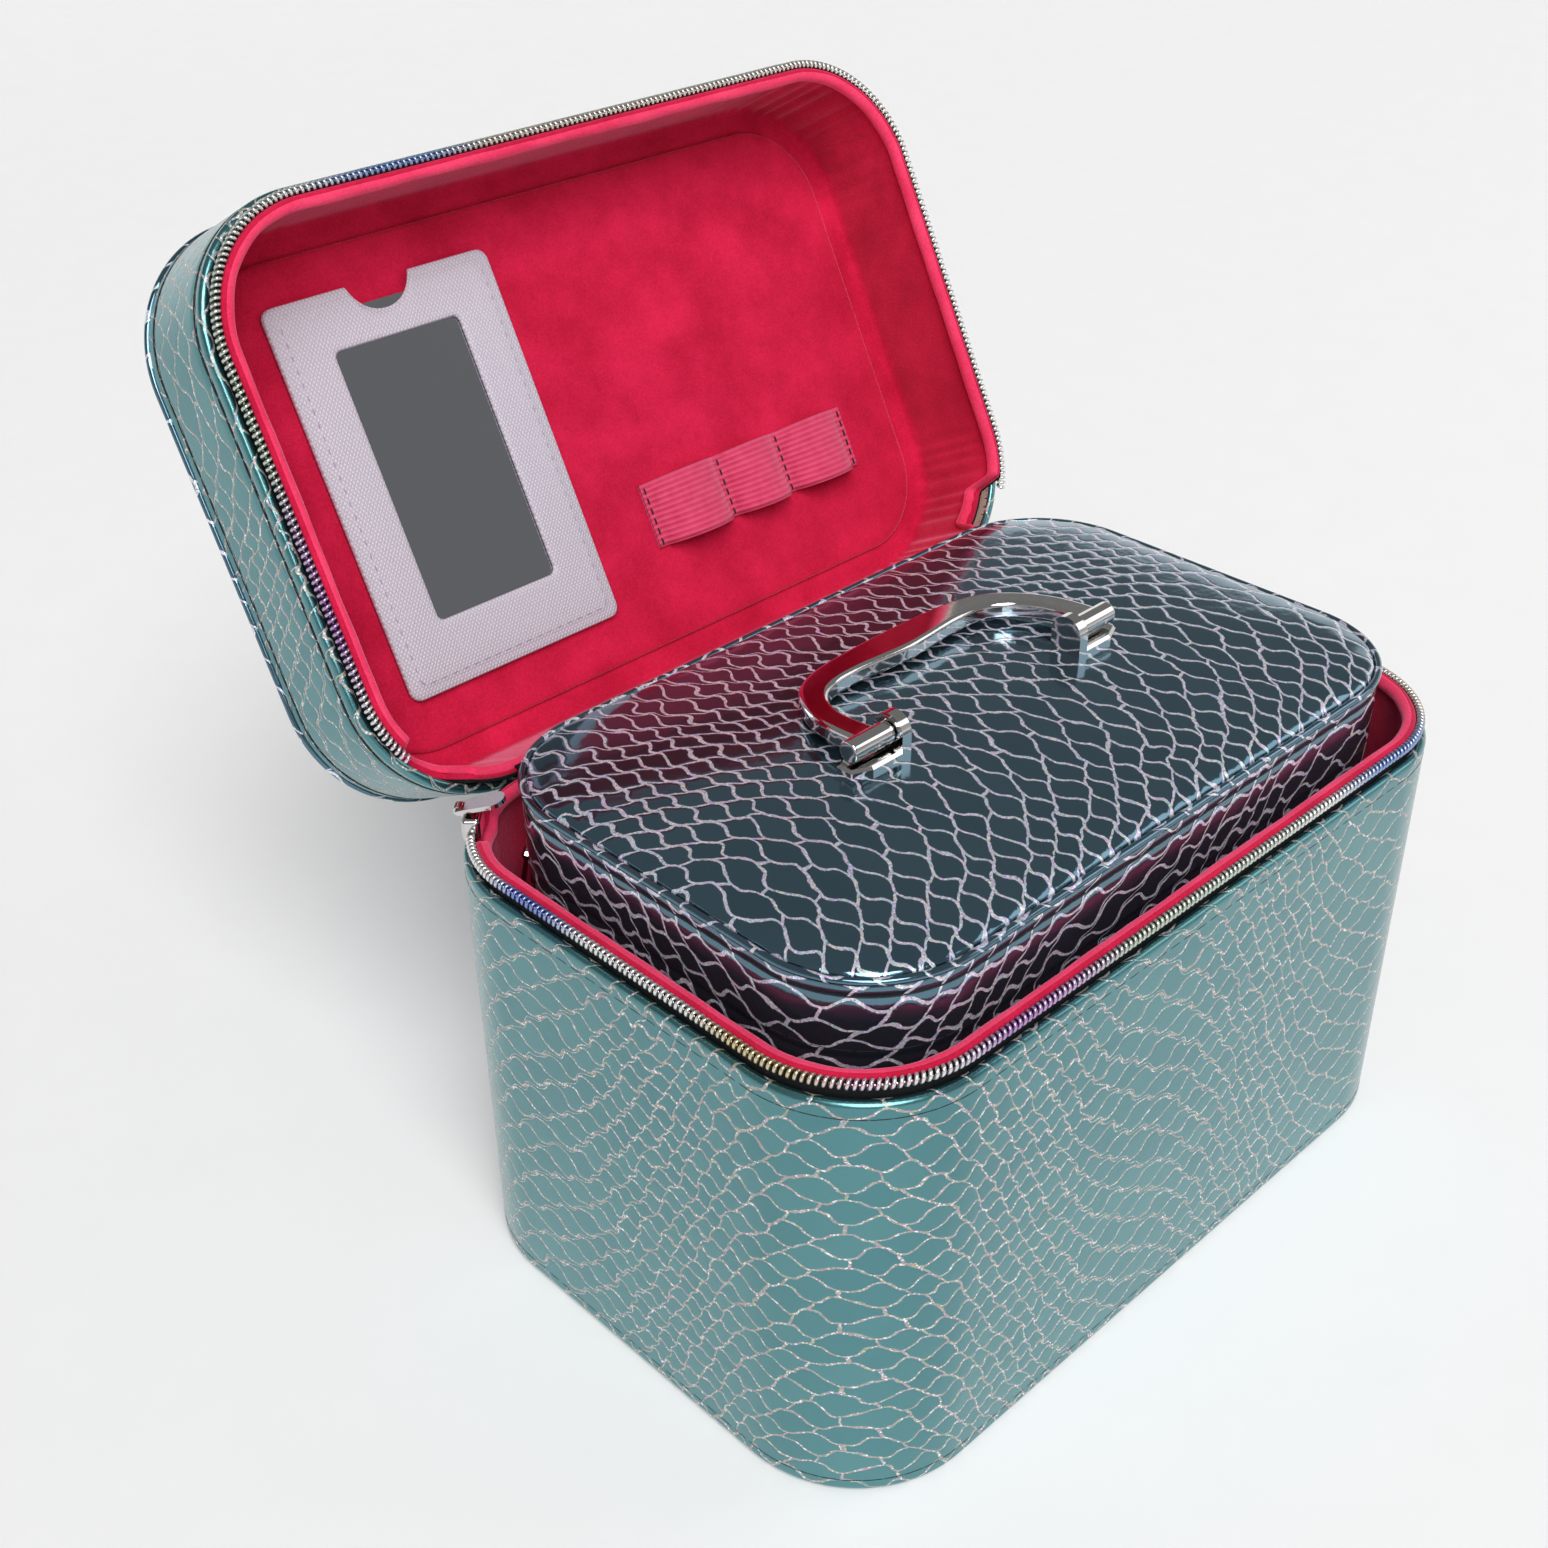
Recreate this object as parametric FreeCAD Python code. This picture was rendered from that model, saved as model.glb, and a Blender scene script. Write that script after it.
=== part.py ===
import FreeCAD
import Part
import math
import os

# Nested pair of zip-round vanity cases, millimetres, +Z up.
# X runs along the hinge, the front is -Y, the origin is the middle of the outer case's underside.

# Outer case
case_w = 228.0
case_d = 150.0
corner_r = 34.0
base_h = 118.0
lid_h = 33.0
zip_gap = 5.2
open_angle = 117.75

# Layers of the walls, from the outside in
cover_t = 1.2
board_t = 1.4
tape_t = 0.6
lining_t = 1.4
floor_board_t = 1.8
turn_under = 9.0
turn_over = 4.0
edge_roll = 1.1
foot_roll = 0.9

# Zip
tape_hidden = 12.0
coil_t = 2.1
coil_h = 2.5
coil_round = 0.6
mesh_clear = 0.2
slider_l = 9.0
slider_t = 4.4
slider_h = 6.0
slider_round = 1.0
slider_clear = 0.3
eye_r = 1.2
eye_w = 2.6
eye_out = 0.85
eye_up = 0.7
stem_t = 1.2
pull_l = 11.5
pull_w = 6.0
pull_t = 1.1
pull_pin_r = 0.55
pull_clear = 0.08
pull_cheek = 0.8
pull_rest = 15.0
notch_clear = 0.9
notch_rise = 5.0

# Hinge fabric
hinge_roll = 0.6
hinge_clear = 0.3
hinge_leaf = 13.0
hinge_end = 2.0

# Padded tops
crown_h = 5.0
crown_run = 25.0
crown_steps = 5
piping_r = 0.95
piping_set = 0.3

# Lid fittings
lid_panel_inset = 7.0
lid_panel_t = 1.5
panel_round = 0.7
pocket_w = 68.0
pocket_far_gap = 18.0
pocket_t = 2.6
pocket_from_side = 29.0
pocket_from_hinge = 22.0
pocket_seam = 4.0
pocket_round = 3.0
window_w = 38.0
window_down = 14.5
window_up = 17.0
window_round = 2.0
notch_w = 19.0
notch_deep = 7.5
mirror_t = 1.2
mirror_short = 5.0
mirror_clear = 0.15
loops_from_side = 31.5
loops_from_hinge = 34.0
loops_w = 18.0
loops_gap = 21.0
loop_spans = [24.0, 20.0, 22.5]
loop_tab = 3.0
loop_rise = 6.0
loop_t = 0.9

# Bail handles
pivot_h = 5.6
pivot_y = -5.0
ear_in = 30.5
ear_t = 3.0
ear_w = 9.0
foot_out = 48.0
foot_t = 2.0
foot_tip = 4.4
foot_taper = 5.0
pin_r = 1.7
pin_clear = 0.06
barrel_r = 2.8
barrel_gap = 0.3
barrel_l = 13.0
arm_out = 43.8
arm_w = 7.2
arm_end = 2.2
bail_reach = 34.0
grip_w = 10.8
bail_outer_shares = [(1.0, 0.18), (0.975, 0.41), (0.89, 0.66), (0.775, 0.835), (0.62, 0.935), (0.36, 0.985), (0.0, 1.0)]
bail_inner_shares = [(1.0, 0.26), (0.985, 0.56), (0.915, 0.80), (0.80, 0.97), (0.63, 1.05), (0.35, 1.045), (0.0, 1.0)]
bail_t = 4.6
bail_round = 1.2
rest_gap = 0.35

# Inner case
nest_gap_side = 7.8
nest_gap_front = 6.4
nest_round = 4.0
inner_base_h = 100.0
inner_lid_h = 22.0
inner_zip_gap = 5.2
seat_gap = 0.3
inner_pull_l = 11.5
inner_pull_rest = -80.0

X_AXIS = FreeCAD.Vector(1, 0, 0)
Y_AXIS = FreeCAD.Vector(0, 1, 0)
Z_AXIS = FreeCAD.Vector(0, 0, 1)


def vec(x, y, z=0.0):
    return FreeCAD.Vector(x, y, z)


def outline(width, depth, radius, z):
    """Closed wire of a rectangle with rounded corners, centred on the Z axis."""
    hx = width / 2.0
    hy = depth / 2.0
    s = radius * math.sqrt(0.5)
    edges = []
    for sx, sy, turn in ((1, -1, 1), (1, 1, 0), (-1, 1, 1), (-1, -1, 0)):
        cx = sx * (hx - radius)
        cy = sy * (hy - radius)
        side = vec(sx * hx, cy, z)
        cap = vec(cx, sy * hy, z)
        mid = vec(cx + sx * s, cy + sy * s, z)
        first, last = (cap, side) if turn else (side, cap)
        edges.append((first, mid, last))
    parts = []
    for index, (first, mid, last) in enumerate(edges):
        parts.append(Part.Arc(first, mid, last).toShape())
        follow = edges[(index + 1) % 4][0]
        parts.append(Part.makeLine(last, follow))
    return Part.Wire(parts)


def slab(size, inset, z0, z1):
    """Solid prism of the rounded outline, set in from it, between two heights."""
    width, depth, radius = size
    wire = outline(width - 2 * inset, depth - 2 * inset, radius - inset, z0)
    return Part.Face(wire).extrude(vec(0, 0, z1 - z0))


def ring(size, outer, inner, z0, z1):
    """Wall between two insets of the rounded outline."""
    return slab(size, outer, z0, z1).cut(slab(size, inner, z0, z1))


def box(x0, x1, y0, y1, z0, z1):
    return Part.makeBox(x1 - x0, y1 - y0, z1 - z0, vec(x0, y0, z0))


def edges_at(shape, z, outermost=None):
    """Edges lying wholly at one height, all of them or those of the largest loop."""
    flat = []
    for edge in shape.Edges:
        b = edge.BoundBox
        if abs(b.ZMin - z) < 1e-5 and abs(b.ZMax - z) < 1e-5:
            flat.append(edge)
    if outermost is None:
        return flat
    loops = [Part.Wire(group) for group in Part.sortEdges(flat)]
    loops.sort(key=lambda w: w.BoundBox.XLength)
    return loops[-1 if outermost else 0].Edges


def rounded(shape, z, radius, outermost=None):
    return shape.makeFillet(radius, edges_at(shape, z, outermost))


def turned(shape, point, axis, degrees):
    copy = shape.copy()
    copy.rotate(point, axis, degrees)
    return copy


def moved(shape, x, y, z):
    copy = shape.copy()
    copy.translate(vec(x, y, z))
    return copy


def zip_end_x(size):
    """Where the zip ends, half way round a rear corner, on the tape's line."""
    width, depth, radius = size
    line = radius - cover_t - board_t
    return width / 2.0 - radius + line * math.sqrt(0.5)


def zip_end_y(size):
    width, depth, radius = size
    line = radius - cover_t - board_t
    return depth / 2.0 - radius + line * math.sqrt(0.5)


def half_case(size, height, gap, flange, roll, closed_end_round):
    """One half of a case standing on its closed end, with its parting plane at height plus gap.

    The folded cover holds a stiff board. The zip's tape stands between the board and the
    lining, and carries the coil up to the parting plane.
    """
    width, depth, radius = size
    wall = cover_t + board_t
    skin = wall + tape_t
    part_z = height + gap
    seam_z = height - tape_hidden

    cover = slab(size, 0.0, 0.0, height)
    cover = rounded(cover, height, roll)
    cover = rounded(cover, 0.0, closed_end_round)
    cover = cover.cut(slab(size, cover_t, cover_t, height - cover_t))
    cover = cover.cut(slab(size, wall, cover_t, height))
    cover = cover.cut(slab(size, flange, 0.0, cover_t))

    board = slab(size, cover_t, cover_t, height - cover_t)
    board = board.cut(slab(size, wall, cover_t + floor_board_t, height))

    floor_z = cover_t + floor_board_t
    lining = slab(size, wall, floor_z, seam_z).fuse(slab(size, skin, seam_z, part_z - coil_round))
    lining = lining.cut(slab(size, skin + lining_t, floor_z + lining_t, part_z))
    lining = lining.removeSplitter()
    lining = rounded(lining, part_z - coil_round, lining_t * 0.45)

    end_x = zip_end_x(size)
    rear = box(-end_x, end_x, 0.0, depth, -gap, part_z + gap)
    tape = ring(size, wall, skin, seam_z, part_z - coil_h / 2.0).cut(rear)
    coil_top = part_z - mesh_clear / 2.0
    coil = ring(size, skin - coil_t, skin, coil_top - coil_h, coil_top)
    coil = rounded(coil, coil_top, coil_round)
    coil = coil.cut(rear)
    tape = tape.cut(slab(size, skin - coil_t, coil_top - coil_h, part_z))

    leaf_x = width / 2.0 - radius - hinge_end
    axis_y = depth / 2.0 - wall - tape_t / 2.0
    leaf = box(-leaf_x, leaf_x, axis_y - tape_t / 2.0, axis_y + tape_t / 2.0, part_z - hinge_leaf, part_z)
    return {"cover": cover, "board": board, "lining": lining, "tape": tape, "coil": coil, "leaf": leaf}


def hinge_leaves(base_leaf, lid_leaf, size, part_z):
    """The base's leaf ends in a rolled fold on the hinge axis, the lid's leaf stops just clear of it."""
    width, depth, radius = size
    axis_y = depth / 2.0 - cover_t - board_t - tape_t / 2.0
    leaf_x = width / 2.0 - radius - hinge_end
    roll = Part.makeCylinder(hinge_roll, 2 * leaf_x, vec(-leaf_x, axis_y, part_z), X_AXIS)
    bore = Part.makeCylinder(hinge_roll + hinge_clear, 2 * leaf_x, vec(-leaf_x, axis_y, part_z), X_AXIS)
    return base_leaf.fuse(roll).removeSplitter(), lid_leaf.cut(bore)


def flipped(shape, base_part_z, lid_part_z):
    """A half built on its closed end, turned over to close down on the parting plane."""
    copy = shape.mirror(vec(0, 0, 0), Z_AXIS)
    copy.translate(vec(0, 0, base_part_z + lid_part_z))
    return copy


def crown(size, inset):
    """Padded panel: a quarter-ellipse crown rising from the seam to a flat middle, outwards along -Z."""
    width, depth, radius = size
    wires = []
    for step in range(crown_steps + 1):
        turn = math.radians(90.0 * step / crown_steps)
        run = inset + crown_run * (1.0 - math.cos(turn))
        tight = radius * (1.0 - run / (2.0 * (inset + crown_run)))
        wires.append(outline(width - 2 * run, depth - 2 * run, tight, -crown_h * math.sin(turn)))
    dome = Part.makeLoft(wires, True, True)
    return slab(size, inset, 0.0, cover_t).fuse(dome).removeSplitter()


def piping(size):
    """Corded edge laid along the corner between side band and padded top."""
    width, depth, radius = size
    path = outline(width - 2 * piping_set, depth - 2 * piping_set, radius - piping_set, piping_set)
    start = path.Edges[0].valueAt(path.Edges[0].FirstParameter)
    way = path.Edges[0].tangentAt(path.Edges[0].FirstParameter)
    disc = Part.Face(Part.Wire(Part.makeCircle(piping_r, start, way)))
    return swept(disc, path)


def swept(section, path):
    """Carries a section along tangent lines and arcs: each line extrudes it, each arc turns it about its centre."""
    pieces = []
    here = section
    for edge in path.OrderedEdges:
        start = edge.valueAt(edge.FirstParameter)
        end = edge.valueAt(edge.LastParameter)
        way = edge.tangentAt(edge.FirstParameter)
        if edge.Orientation == "Reversed":
            start, end = end, start
            way = edge.tangentAt(edge.LastParameter) * -1.0
        if isinstance(edge.Curve, Part.Line):
            pieces.append(here.extrude(end - start))
            here = moved(here, end.x - start.x, end.y - start.y, end.z - start.z)
        else:
            centre = edge.Curve.Center
            axis = (start - centre).cross(way)
            degrees = math.degrees(edge.Length / edge.Curve.Radius)
            pieces.append(here.revolve(centre, axis, degrees))
            here = turned(here, centre, axis, degrees)
    whole = pieces[0].fuse(pieces[1:])
    return whole.removeSplitter()


def smooth_run(shares, end_x, far_y):
    """Smooth edge from the right arm's end, round the grip and back down the left arm, from shares of two sizes."""
    right = [vec(end_x, -arm_end)] + [vec(end_x * a, far_y * b) for a, b in shares]
    left = [vec(-p.x, p.y) for p in reversed(right[:-1])]
    curve = Part.BSplineCurve()
    curve.interpolate(right + left)
    return curve.toShape()


def make_bail():
    """Bail lying back along +Y from its pivot axis, which runs along X through the origin."""
    outer = smooth_run(bail_outer_shares, arm_out, bail_reach)
    inner = smooth_run(bail_inner_shares, arm_out - arm_w, bail_reach - grip_w)
    tips = [Part.makeLine(vec(s * arm_out, -arm_end), vec(s * (arm_out - arm_w), -arm_end)) for s in (1, -1)]
    face = Part.Face(Part.Wire(Part.sortEdges([outer, inner] + tips)[0]))
    bail = moved(face.extrude(vec(0, 0, bail_t)), 0, 0, -bail_t / 2.0)
    bail = bail.makeFillet(bail_round, edges_at(bail, bail_t / 2.0) + edges_at(bail, -bail_t / 2.0))
    for side in (1, -1):
        start = side * (ear_in + ear_t + barrel_gap)
        barrel = Part.makeCylinder(barrel_r, barrel_l, vec(start, 0), X_AXIS * side)
        barrel = barrel.makeFillet(bail_round / 2.0, [e for e in barrel.Edges if len(e.Vertexes) == 1])
        pin = Part.makeCylinder(pin_r, ear_t + barrel_gap + barrel_r, vec(side * ear_in, 0), X_AXIS * side)
        bail = bail.fuse(barrel).fuse(pin)
    return bail.removeSplitter()


def make_lugs():
    """Pair of lugs: a bevelled foot running outwards and an upright half-round ear on its inner end."""
    half = ear_w / 2.0
    lugs = []
    for side in (1, -1):
        plan = [vec(ear_in, -half, -pivot_h), vec(foot_out - foot_taper, -half, -pivot_h)]
        plan += [vec(foot_out, -foot_tip / 2.0, -pivot_h), vec(foot_out, foot_tip / 2.0, -pivot_h)]
        plan += [vec(foot_out - foot_taper, half, -pivot_h), vec(ear_in, half, -pivot_h)]
        foot = Part.Face(Part.makePolygon(plan + plan[:1])).extrude(vec(0, 0, foot_t))
        bevel = edges_at(foot, foot_t - pivot_h)
        foot = foot.makeChamfer(foot_t * 0.35, bevel)
        ear = box(ear_in, ear_in + ear_t, -half, half, -pivot_h, 0.0)
        ear = ear.fuse(Part.makeCylinder(half, ear_t, vec(ear_in, 0), X_AXIS)).removeSplitter()
        lug = foot.fuse(ear).removeSplitter()
        lug = lug.cut(Part.makeCylinder(pin_r + pin_clear, ear_t, vec(ear_in, 0), X_AXIS))
        if side < 0:
            lug = lug.mirror(vec(0, 0, 0), X_AXIS)
        lugs.append(lug)
    return Part.makeCompound(lugs)


def make_slider():
    """Slider on the chain: length along Y, thickness along X, the pull's eye on its outer upper edge."""
    body = box(-slider_t / 2.0, slider_t / 2.0, -slider_l / 2.0, slider_l / 2.0, -slider_h / 2.0, slider_h / 2.0)
    body = body.makeFillet(slider_round, body.Edges)
    eye_x = slider_t / 2.0 + eye_out
    eye_z = slider_h / 2.0 + eye_up
    run = eye_out + slider_round
    rise = eye_up + slider_round
    stem = box(0.0, math.hypot(run, rise), -eye_w / 2.0, eye_w / 2.0, -stem_t / 2.0, stem_t / 2.0)
    stem = turned(stem, vec(0, 0, 0), Y_AXIS, -math.degrees(math.atan2(rise, run)))
    stem = moved(stem, eye_x - run, 0, eye_z - rise)
    eye = Part.makeCylinder(eye_r, eye_w, vec(eye_x, -eye_w / 2.0, eye_z), Y_AXIS).fuse(stem)
    body = body.fuse(eye).removeSplitter()
    return body.cut(Part.makeCylinder(pull_pin_r + pull_clear, eye_w, vec(eye_x, -eye_w / 2.0, eye_z), Y_AXIS))


def make_pull(length, lift):
    """Teardrop pull on its pin in the slider's eye, lifted by an angle from pointing straight outwards."""
    low = -pull_t / 2.0
    tip = pull_w / 2.0
    cheek_in = eye_w / 2.0 + pull_clear
    cheek_out = cheek_in + pull_cheek
    start = eye_r + pull_clear * 4.0
    body = Part.makeCylinder(tip, pull_t, vec(length - tip, 0, low), Z_AXIS)
    plan = [vec(start, -cheek_out, low), vec(length - tip, -tip, low)]
    plan += [vec(length - tip, tip, low), vec(start, cheek_out, low)]
    body = body.fuse(Part.Face(Part.makePolygon(plan + plan[:1])).extrude(vec(0, 0, pull_t)))
    for side in (1, -1):
        edge = min(side * cheek_in, side * cheek_out)
        body = body.fuse(box(-pull_pin_r, start, edge, edge + pull_cheek, low, -low))
    body = body.fuse(Part.makeCylinder(pull_pin_r, 2 * cheek_out, vec(0, -cheek_out, 0), Y_AXIS))
    body = turned(body.removeSplitter(), vec(0, 0, 0), Y_AXIS, -lift)
    return moved(body, slider_t / 2.0 + eye_out, 0, slider_h / 2.0 + eye_up)


def place_at_corner(shape, size, side, z):
    """Carries a piece made on the X axis to the zip's end, its +X turned outwards through the corner."""
    width, depth, radius = size
    copy = turned(shape, vec(0, 0, 0), Z_AXIS, 45.0)
    if side < 0:
        copy = copy.mirror(vec(0, 0, 0), X_AXIS)
    return moved(copy, side * zip_end_x(size), zip_end_y(size), z)


def slider_room(size, side, z, clear, rise):
    """Space that a slider and its pull's neck need in the pieces around them."""
    body = box(-slider_t, slider_t, -slider_l / 2.0 - clear, slider_l / 2.0 + clear,
               -slider_h / 2.0 - clear, slider_h / 2.0 + clear + rise)
    return place_at_corner(body, size, side, z)


outer_size = (case_w, case_d, corner_r)
wall_t = cover_t + board_t + tape_t
inner_w = case_w - 2.0 * (wall_t + lining_t + nest_gap_side)
inner_d = case_d - 2.0 * (wall_t + lining_t + nest_gap_front)
inner_size = (inner_w, inner_d, corner_r - nest_round)
parting_z = base_h + zip_gap
lid_part = lid_h + zip_gap
hinge_y = case_d / 2.0 - cover_t - board_t - tape_t / 2.0
hinge_at = vec(0, hinge_y, parting_z)
inner_z = cover_t + floor_board_t + lining_t + seat_gap
inner_part_local = inner_base_h + inner_zip_gap
inner_parting_z = inner_z + inner_part_local
inner_lid_part = inner_lid_h + inner_zip_gap

nodes = {}

# Outer base
base = half_case(outer_size, base_h, zip_gap, turn_under, edge_roll, foot_roll)
lid = half_case(outer_size, lid_h, zip_gap, turn_over, edge_roll, edge_roll)
for key in lid:
    lid[key] = flipped(lid[key], parting_z, lid_part)
base["leaf"], lid["leaf"] = hinge_leaves(base["leaf"], lid["leaf"], outer_size, parting_z)
for side in (-1, 1):
    snug = slider_room(outer_size, side, parting_z, slider_clear, 0.0)
    free = slider_room(outer_size, side, parting_z, notch_clear, notch_rise)
    for key in ("lining", "tape", "coil"):
        base[key] = base[key].cut(snug)
        lid[key] = lid[key].cut(free)

nodes["base_cover"] = base["cover"]
nodes["base_underside"] = slab(outer_size, turn_under, 0.0, cover_t)
nodes["base_board"] = base["board"]
nodes["base_lining"] = base["lining"]
nodes["base_zip_tape"] = base["tape"]
nodes["base_zip_coil"] = base["coil"]
nodes["base_hinge_tape"] = base["leaf"]

slider = make_slider()
pull = make_pull(pull_l, 180.0 - pull_rest)
for side, word in ((-1, "left"), (1, "right")):
    nodes["zip_slider_" + word] = place_at_corner(slider, outer_size, side, parting_z)
    nodes["zip_pull_" + word] = place_at_corner(pull, outer_size, side, parting_z)

# Outer lid, made shut and then opened about the hinge
lid_top_z = parting_z + lid_part
lid_floor_z = lid_top_z - cover_t - floor_board_t - lining_t
cord = flipped(piping(outer_size), parting_z, lid_part)
lid_nodes = {}
lid_nodes["lid_piping"] = cord
lid_nodes["lid_cover"] = lid["cover"].cut(cord)
lid_nodes["lid_pad"] = flipped(crown(outer_size, turn_over), parting_z, lid_part)
lid_nodes["lid_board"] = lid["board"]
lid_nodes["lid_lining"] = lid["lining"]
lid_nodes["lid_zip_tape"] = lid["tape"]
lid_nodes["lid_zip_coil"] = lid["coil"]
lid_nodes["lid_hinge_tape"] = lid["leaf"]

panel = slab(outer_size, wall_t + lining_t + lid_panel_inset, lid_floor_z - lid_panel_t, lid_floor_z)
lid_nodes["lid_panel"] = rounded(panel, lid_floor_z - lid_panel_t, panel_round)
panel_z = lid_floor_z - lid_panel_t

pocket_x = pocket_from_side + pocket_w / 2.0 - case_w / 2.0
pocket_y1 = hinge_y - pocket_from_hinge
pocket_y0 = wall_t + lining_t + pocket_far_gap - case_d / 2.0
window_l = pocket_y1 - pocket_y0 - window_up - window_down
pocket = box(pocket_x - pocket_w / 2.0, pocket_x + pocket_w / 2.0, pocket_y0, pocket_y1, panel_z - pocket_t, panel_z)
upright = [e for e in pocket.Edges if e.BoundBox.ZLength > pocket_t * 0.9]
pocket = pocket.makeFillet(pocket_round, upright)
pocket = pocket.makeFillet(panel_round, edges_at(pocket, panel_z - pocket_t))
slot_w = pocket_w / 2.0 - pocket_seam
slot = box(pocket_x - slot_w, pocket_x + slot_w, pocket_y0, pocket_y1 - pocket_seam,
           panel_z - mirror_t - 2 * mirror_clear, panel_z)
window = box(pocket_x - window_w / 2.0, pocket_x + window_w / 2.0, pocket_y1 - window_up - window_l,
             pocket_y1 - window_up, panel_z - pocket_t, panel_z)
window = window.makeFillet(window_round, [e for e in window.Edges if e.BoundBox.ZLength > pocket_t * 0.9])
thumb_r = (notch_w * notch_w / 4.0 + notch_deep * notch_deep) / (2.0 * notch_deep)
thumb = Part.makeCylinder(thumb_r, pocket_t, vec(pocket_x, pocket_y0 + notch_deep - thumb_r, panel_z - pocket_t))
lid_nodes["mirror_pocket"] = pocket.cut(slot).cut(window).cut(thumb)
mirror_half = slot_w - mirror_clear
mirror = box(pocket_x - mirror_half, pocket_x + mirror_half, pocket_y0 + mirror_short,
             pocket_y1 - pocket_seam - mirror_clear, panel_z - mirror_t - mirror_clear, panel_z - mirror_clear)
mirror_node = mirror


loops_l = case_w / 2.0 - loops_from_side - (pocket_x + pocket_w / 2.0 + loops_gap)
loops_x = case_w / 2.0 - loops_from_side - loops_l / 2.0
loops_room = loops_l - loop_tab * (len(loop_spans) + 1)
fitted_spans = [span * loops_room / sum(loop_spans) for span in loop_spans]


def loop_strip():
    """Elastic strip sewn down between arched loops, in the plane of X and rise, run along the lid's depth."""
    length = loops_l
    x = -length / 2.0
    low = []
    for span in fitted_spans:
        low.append(Part.makeLine(vec(x, 0), vec(x + loop_tab, 0)))
        start = x + loop_tab
        end = start + span
        low.append(Part.Arc(vec(start, 0), vec((start + end) / 2.0, loop_rise), vec(end, 0)).toShape())
        x = end
    edges = list(low)
    edges.append(Part.makeLine(vec(x, 0), vec(x + loop_tab, 0)))
    last = vec(x + loop_tab, 0)
    top = vec(x + loop_tab, loop_t)
    edges.append(Part.makeLine(last, top))
    cursor = top
    x = length / 2.0 - loop_tab
    for span in reversed(fitted_spans):
        end = x
        start = end - span
        edges.append(Part.makeLine(cursor, vec(end + loop_t, loop_t)))
        over = vec((start + end) / 2.0, loop_rise + loop_t)
        edges.append(Part.Arc(vec(end + loop_t, loop_t), over, vec(start - loop_t, loop_t)).toShape())
        cursor = vec(start - loop_t, loop_t)
        x = start - loop_tab
    edges.append(Part.makeLine(cursor, vec(-length / 2.0, loop_t)))
    edges.append(Part.makeLine(vec(-length / 2.0, loop_t), vec(-length / 2.0, 0)))
    face = Part.Face(Part.Wire(Part.sortEdges(edges)[0]))
    return face.extrude(vec(0, 0, loops_w))


strip = turned(loop_strip(), vec(0, 0, 0), X_AXIS, -90.0)
strip = moved(strip, loops_x, hinge_y - loops_from_hinge - loops_w, panel_z)
lid_nodes["brush_loops"] = strip

handle_top = lid_top_z + crown_h
lid_nodes["lid_handle_lugs"] = moved(make_lugs(), 0, pivot_y, handle_top + pivot_h)
bail = make_bail()
hang = open_angle - 90.0
lid_bail = moved(turned(bail, vec(0, 0, 0), X_AXIS, hang), 0, pivot_y, handle_top + pivot_h)
lid_nodes["lid_handle"] = lid_bail
lid_nodes["mirror"] = mirror_node
for name, shape in lid_nodes.items():
    nodes[name] = turned(shape, hinge_at, X_AXIS, -open_angle)

# Inner case, seated in the outer base
inner_base = half_case(inner_size, inner_base_h, inner_zip_gap, turn_under, edge_roll, foot_roll)
inner_lid = half_case(inner_size, inner_lid_h, inner_zip_gap, turn_over, edge_roll, edge_roll)
for key in inner_lid:
    inner_lid[key] = flipped(inner_lid[key], inner_part_local, inner_lid_part)
leaves = hinge_leaves(inner_base["leaf"], inner_lid["leaf"], inner_size, inner_part_local)
inner_base["leaf"], inner_lid["leaf"] = leaves
for side in (-1, 1):
    snug = slider_room(inner_size, side, inner_part_local, slider_clear, 0.0)
    free = slider_room(inner_size, side, inner_part_local, notch_clear, 0.0)
    for key in ("lining", "tape", "coil"):
        inner_base[key] = inner_base[key].cut(snug)
        inner_lid[key] = inner_lid[key].cut(free)

inner_nodes = {}
inner_nodes["inner_base_cover"] = inner_base["cover"]
inner_nodes["inner_base_underside"] = slab(inner_size, turn_under, 0.0, cover_t)
inner_nodes["inner_base_board"] = inner_base["board"]
inner_nodes["inner_base_lining"] = inner_base["lining"]
inner_nodes["inner_base_zip_tape"] = inner_base["tape"]
inner_nodes["inner_base_zip_coil"] = inner_base["coil"]
inner_nodes["inner_base_hinge_tape"] = inner_base["leaf"]
inner_pull = make_pull(inner_pull_l, inner_pull_rest)
for side, word in ((-1, "left"), (1, "right")):
    inner_nodes["inner_zip_slider_" + word] = place_at_corner(slider, inner_size, side, inner_part_local)
    inner_nodes["inner_zip_pull_" + word] = place_at_corner(inner_pull, inner_size, side, inner_part_local)
inner_cord = flipped(piping(inner_size), inner_part_local, inner_lid_part)
inner_top = inner_part_local + inner_lid_part
inner_nodes["inner_lid_piping"] = inner_cord
inner_nodes["inner_lid_cover"] = inner_lid["cover"].cut(inner_cord)
inner_nodes["inner_lid_pad"] = flipped(crown(inner_size, turn_over), inner_part_local, inner_lid_part)
inner_nodes["inner_lid_board"] = inner_lid["board"]
inner_nodes["inner_lid_lining"] = inner_lid["lining"]
inner_nodes["inner_lid_zip_tape"] = inner_lid["tape"]
inner_nodes["inner_lid_zip_coil"] = inner_lid["coil"]
inner_nodes["inner_lid_hinge_tape"] = inner_lid["leaf"]
handle_z = inner_top + crown_h + pivot_h
inner_nodes["inner_handle_lugs"] = moved(make_lugs(), 0, pivot_y, handle_z)
drop = math.degrees(math.asin((pivot_h - bail_t / 2.0 - rest_gap) / bail_reach))
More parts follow.
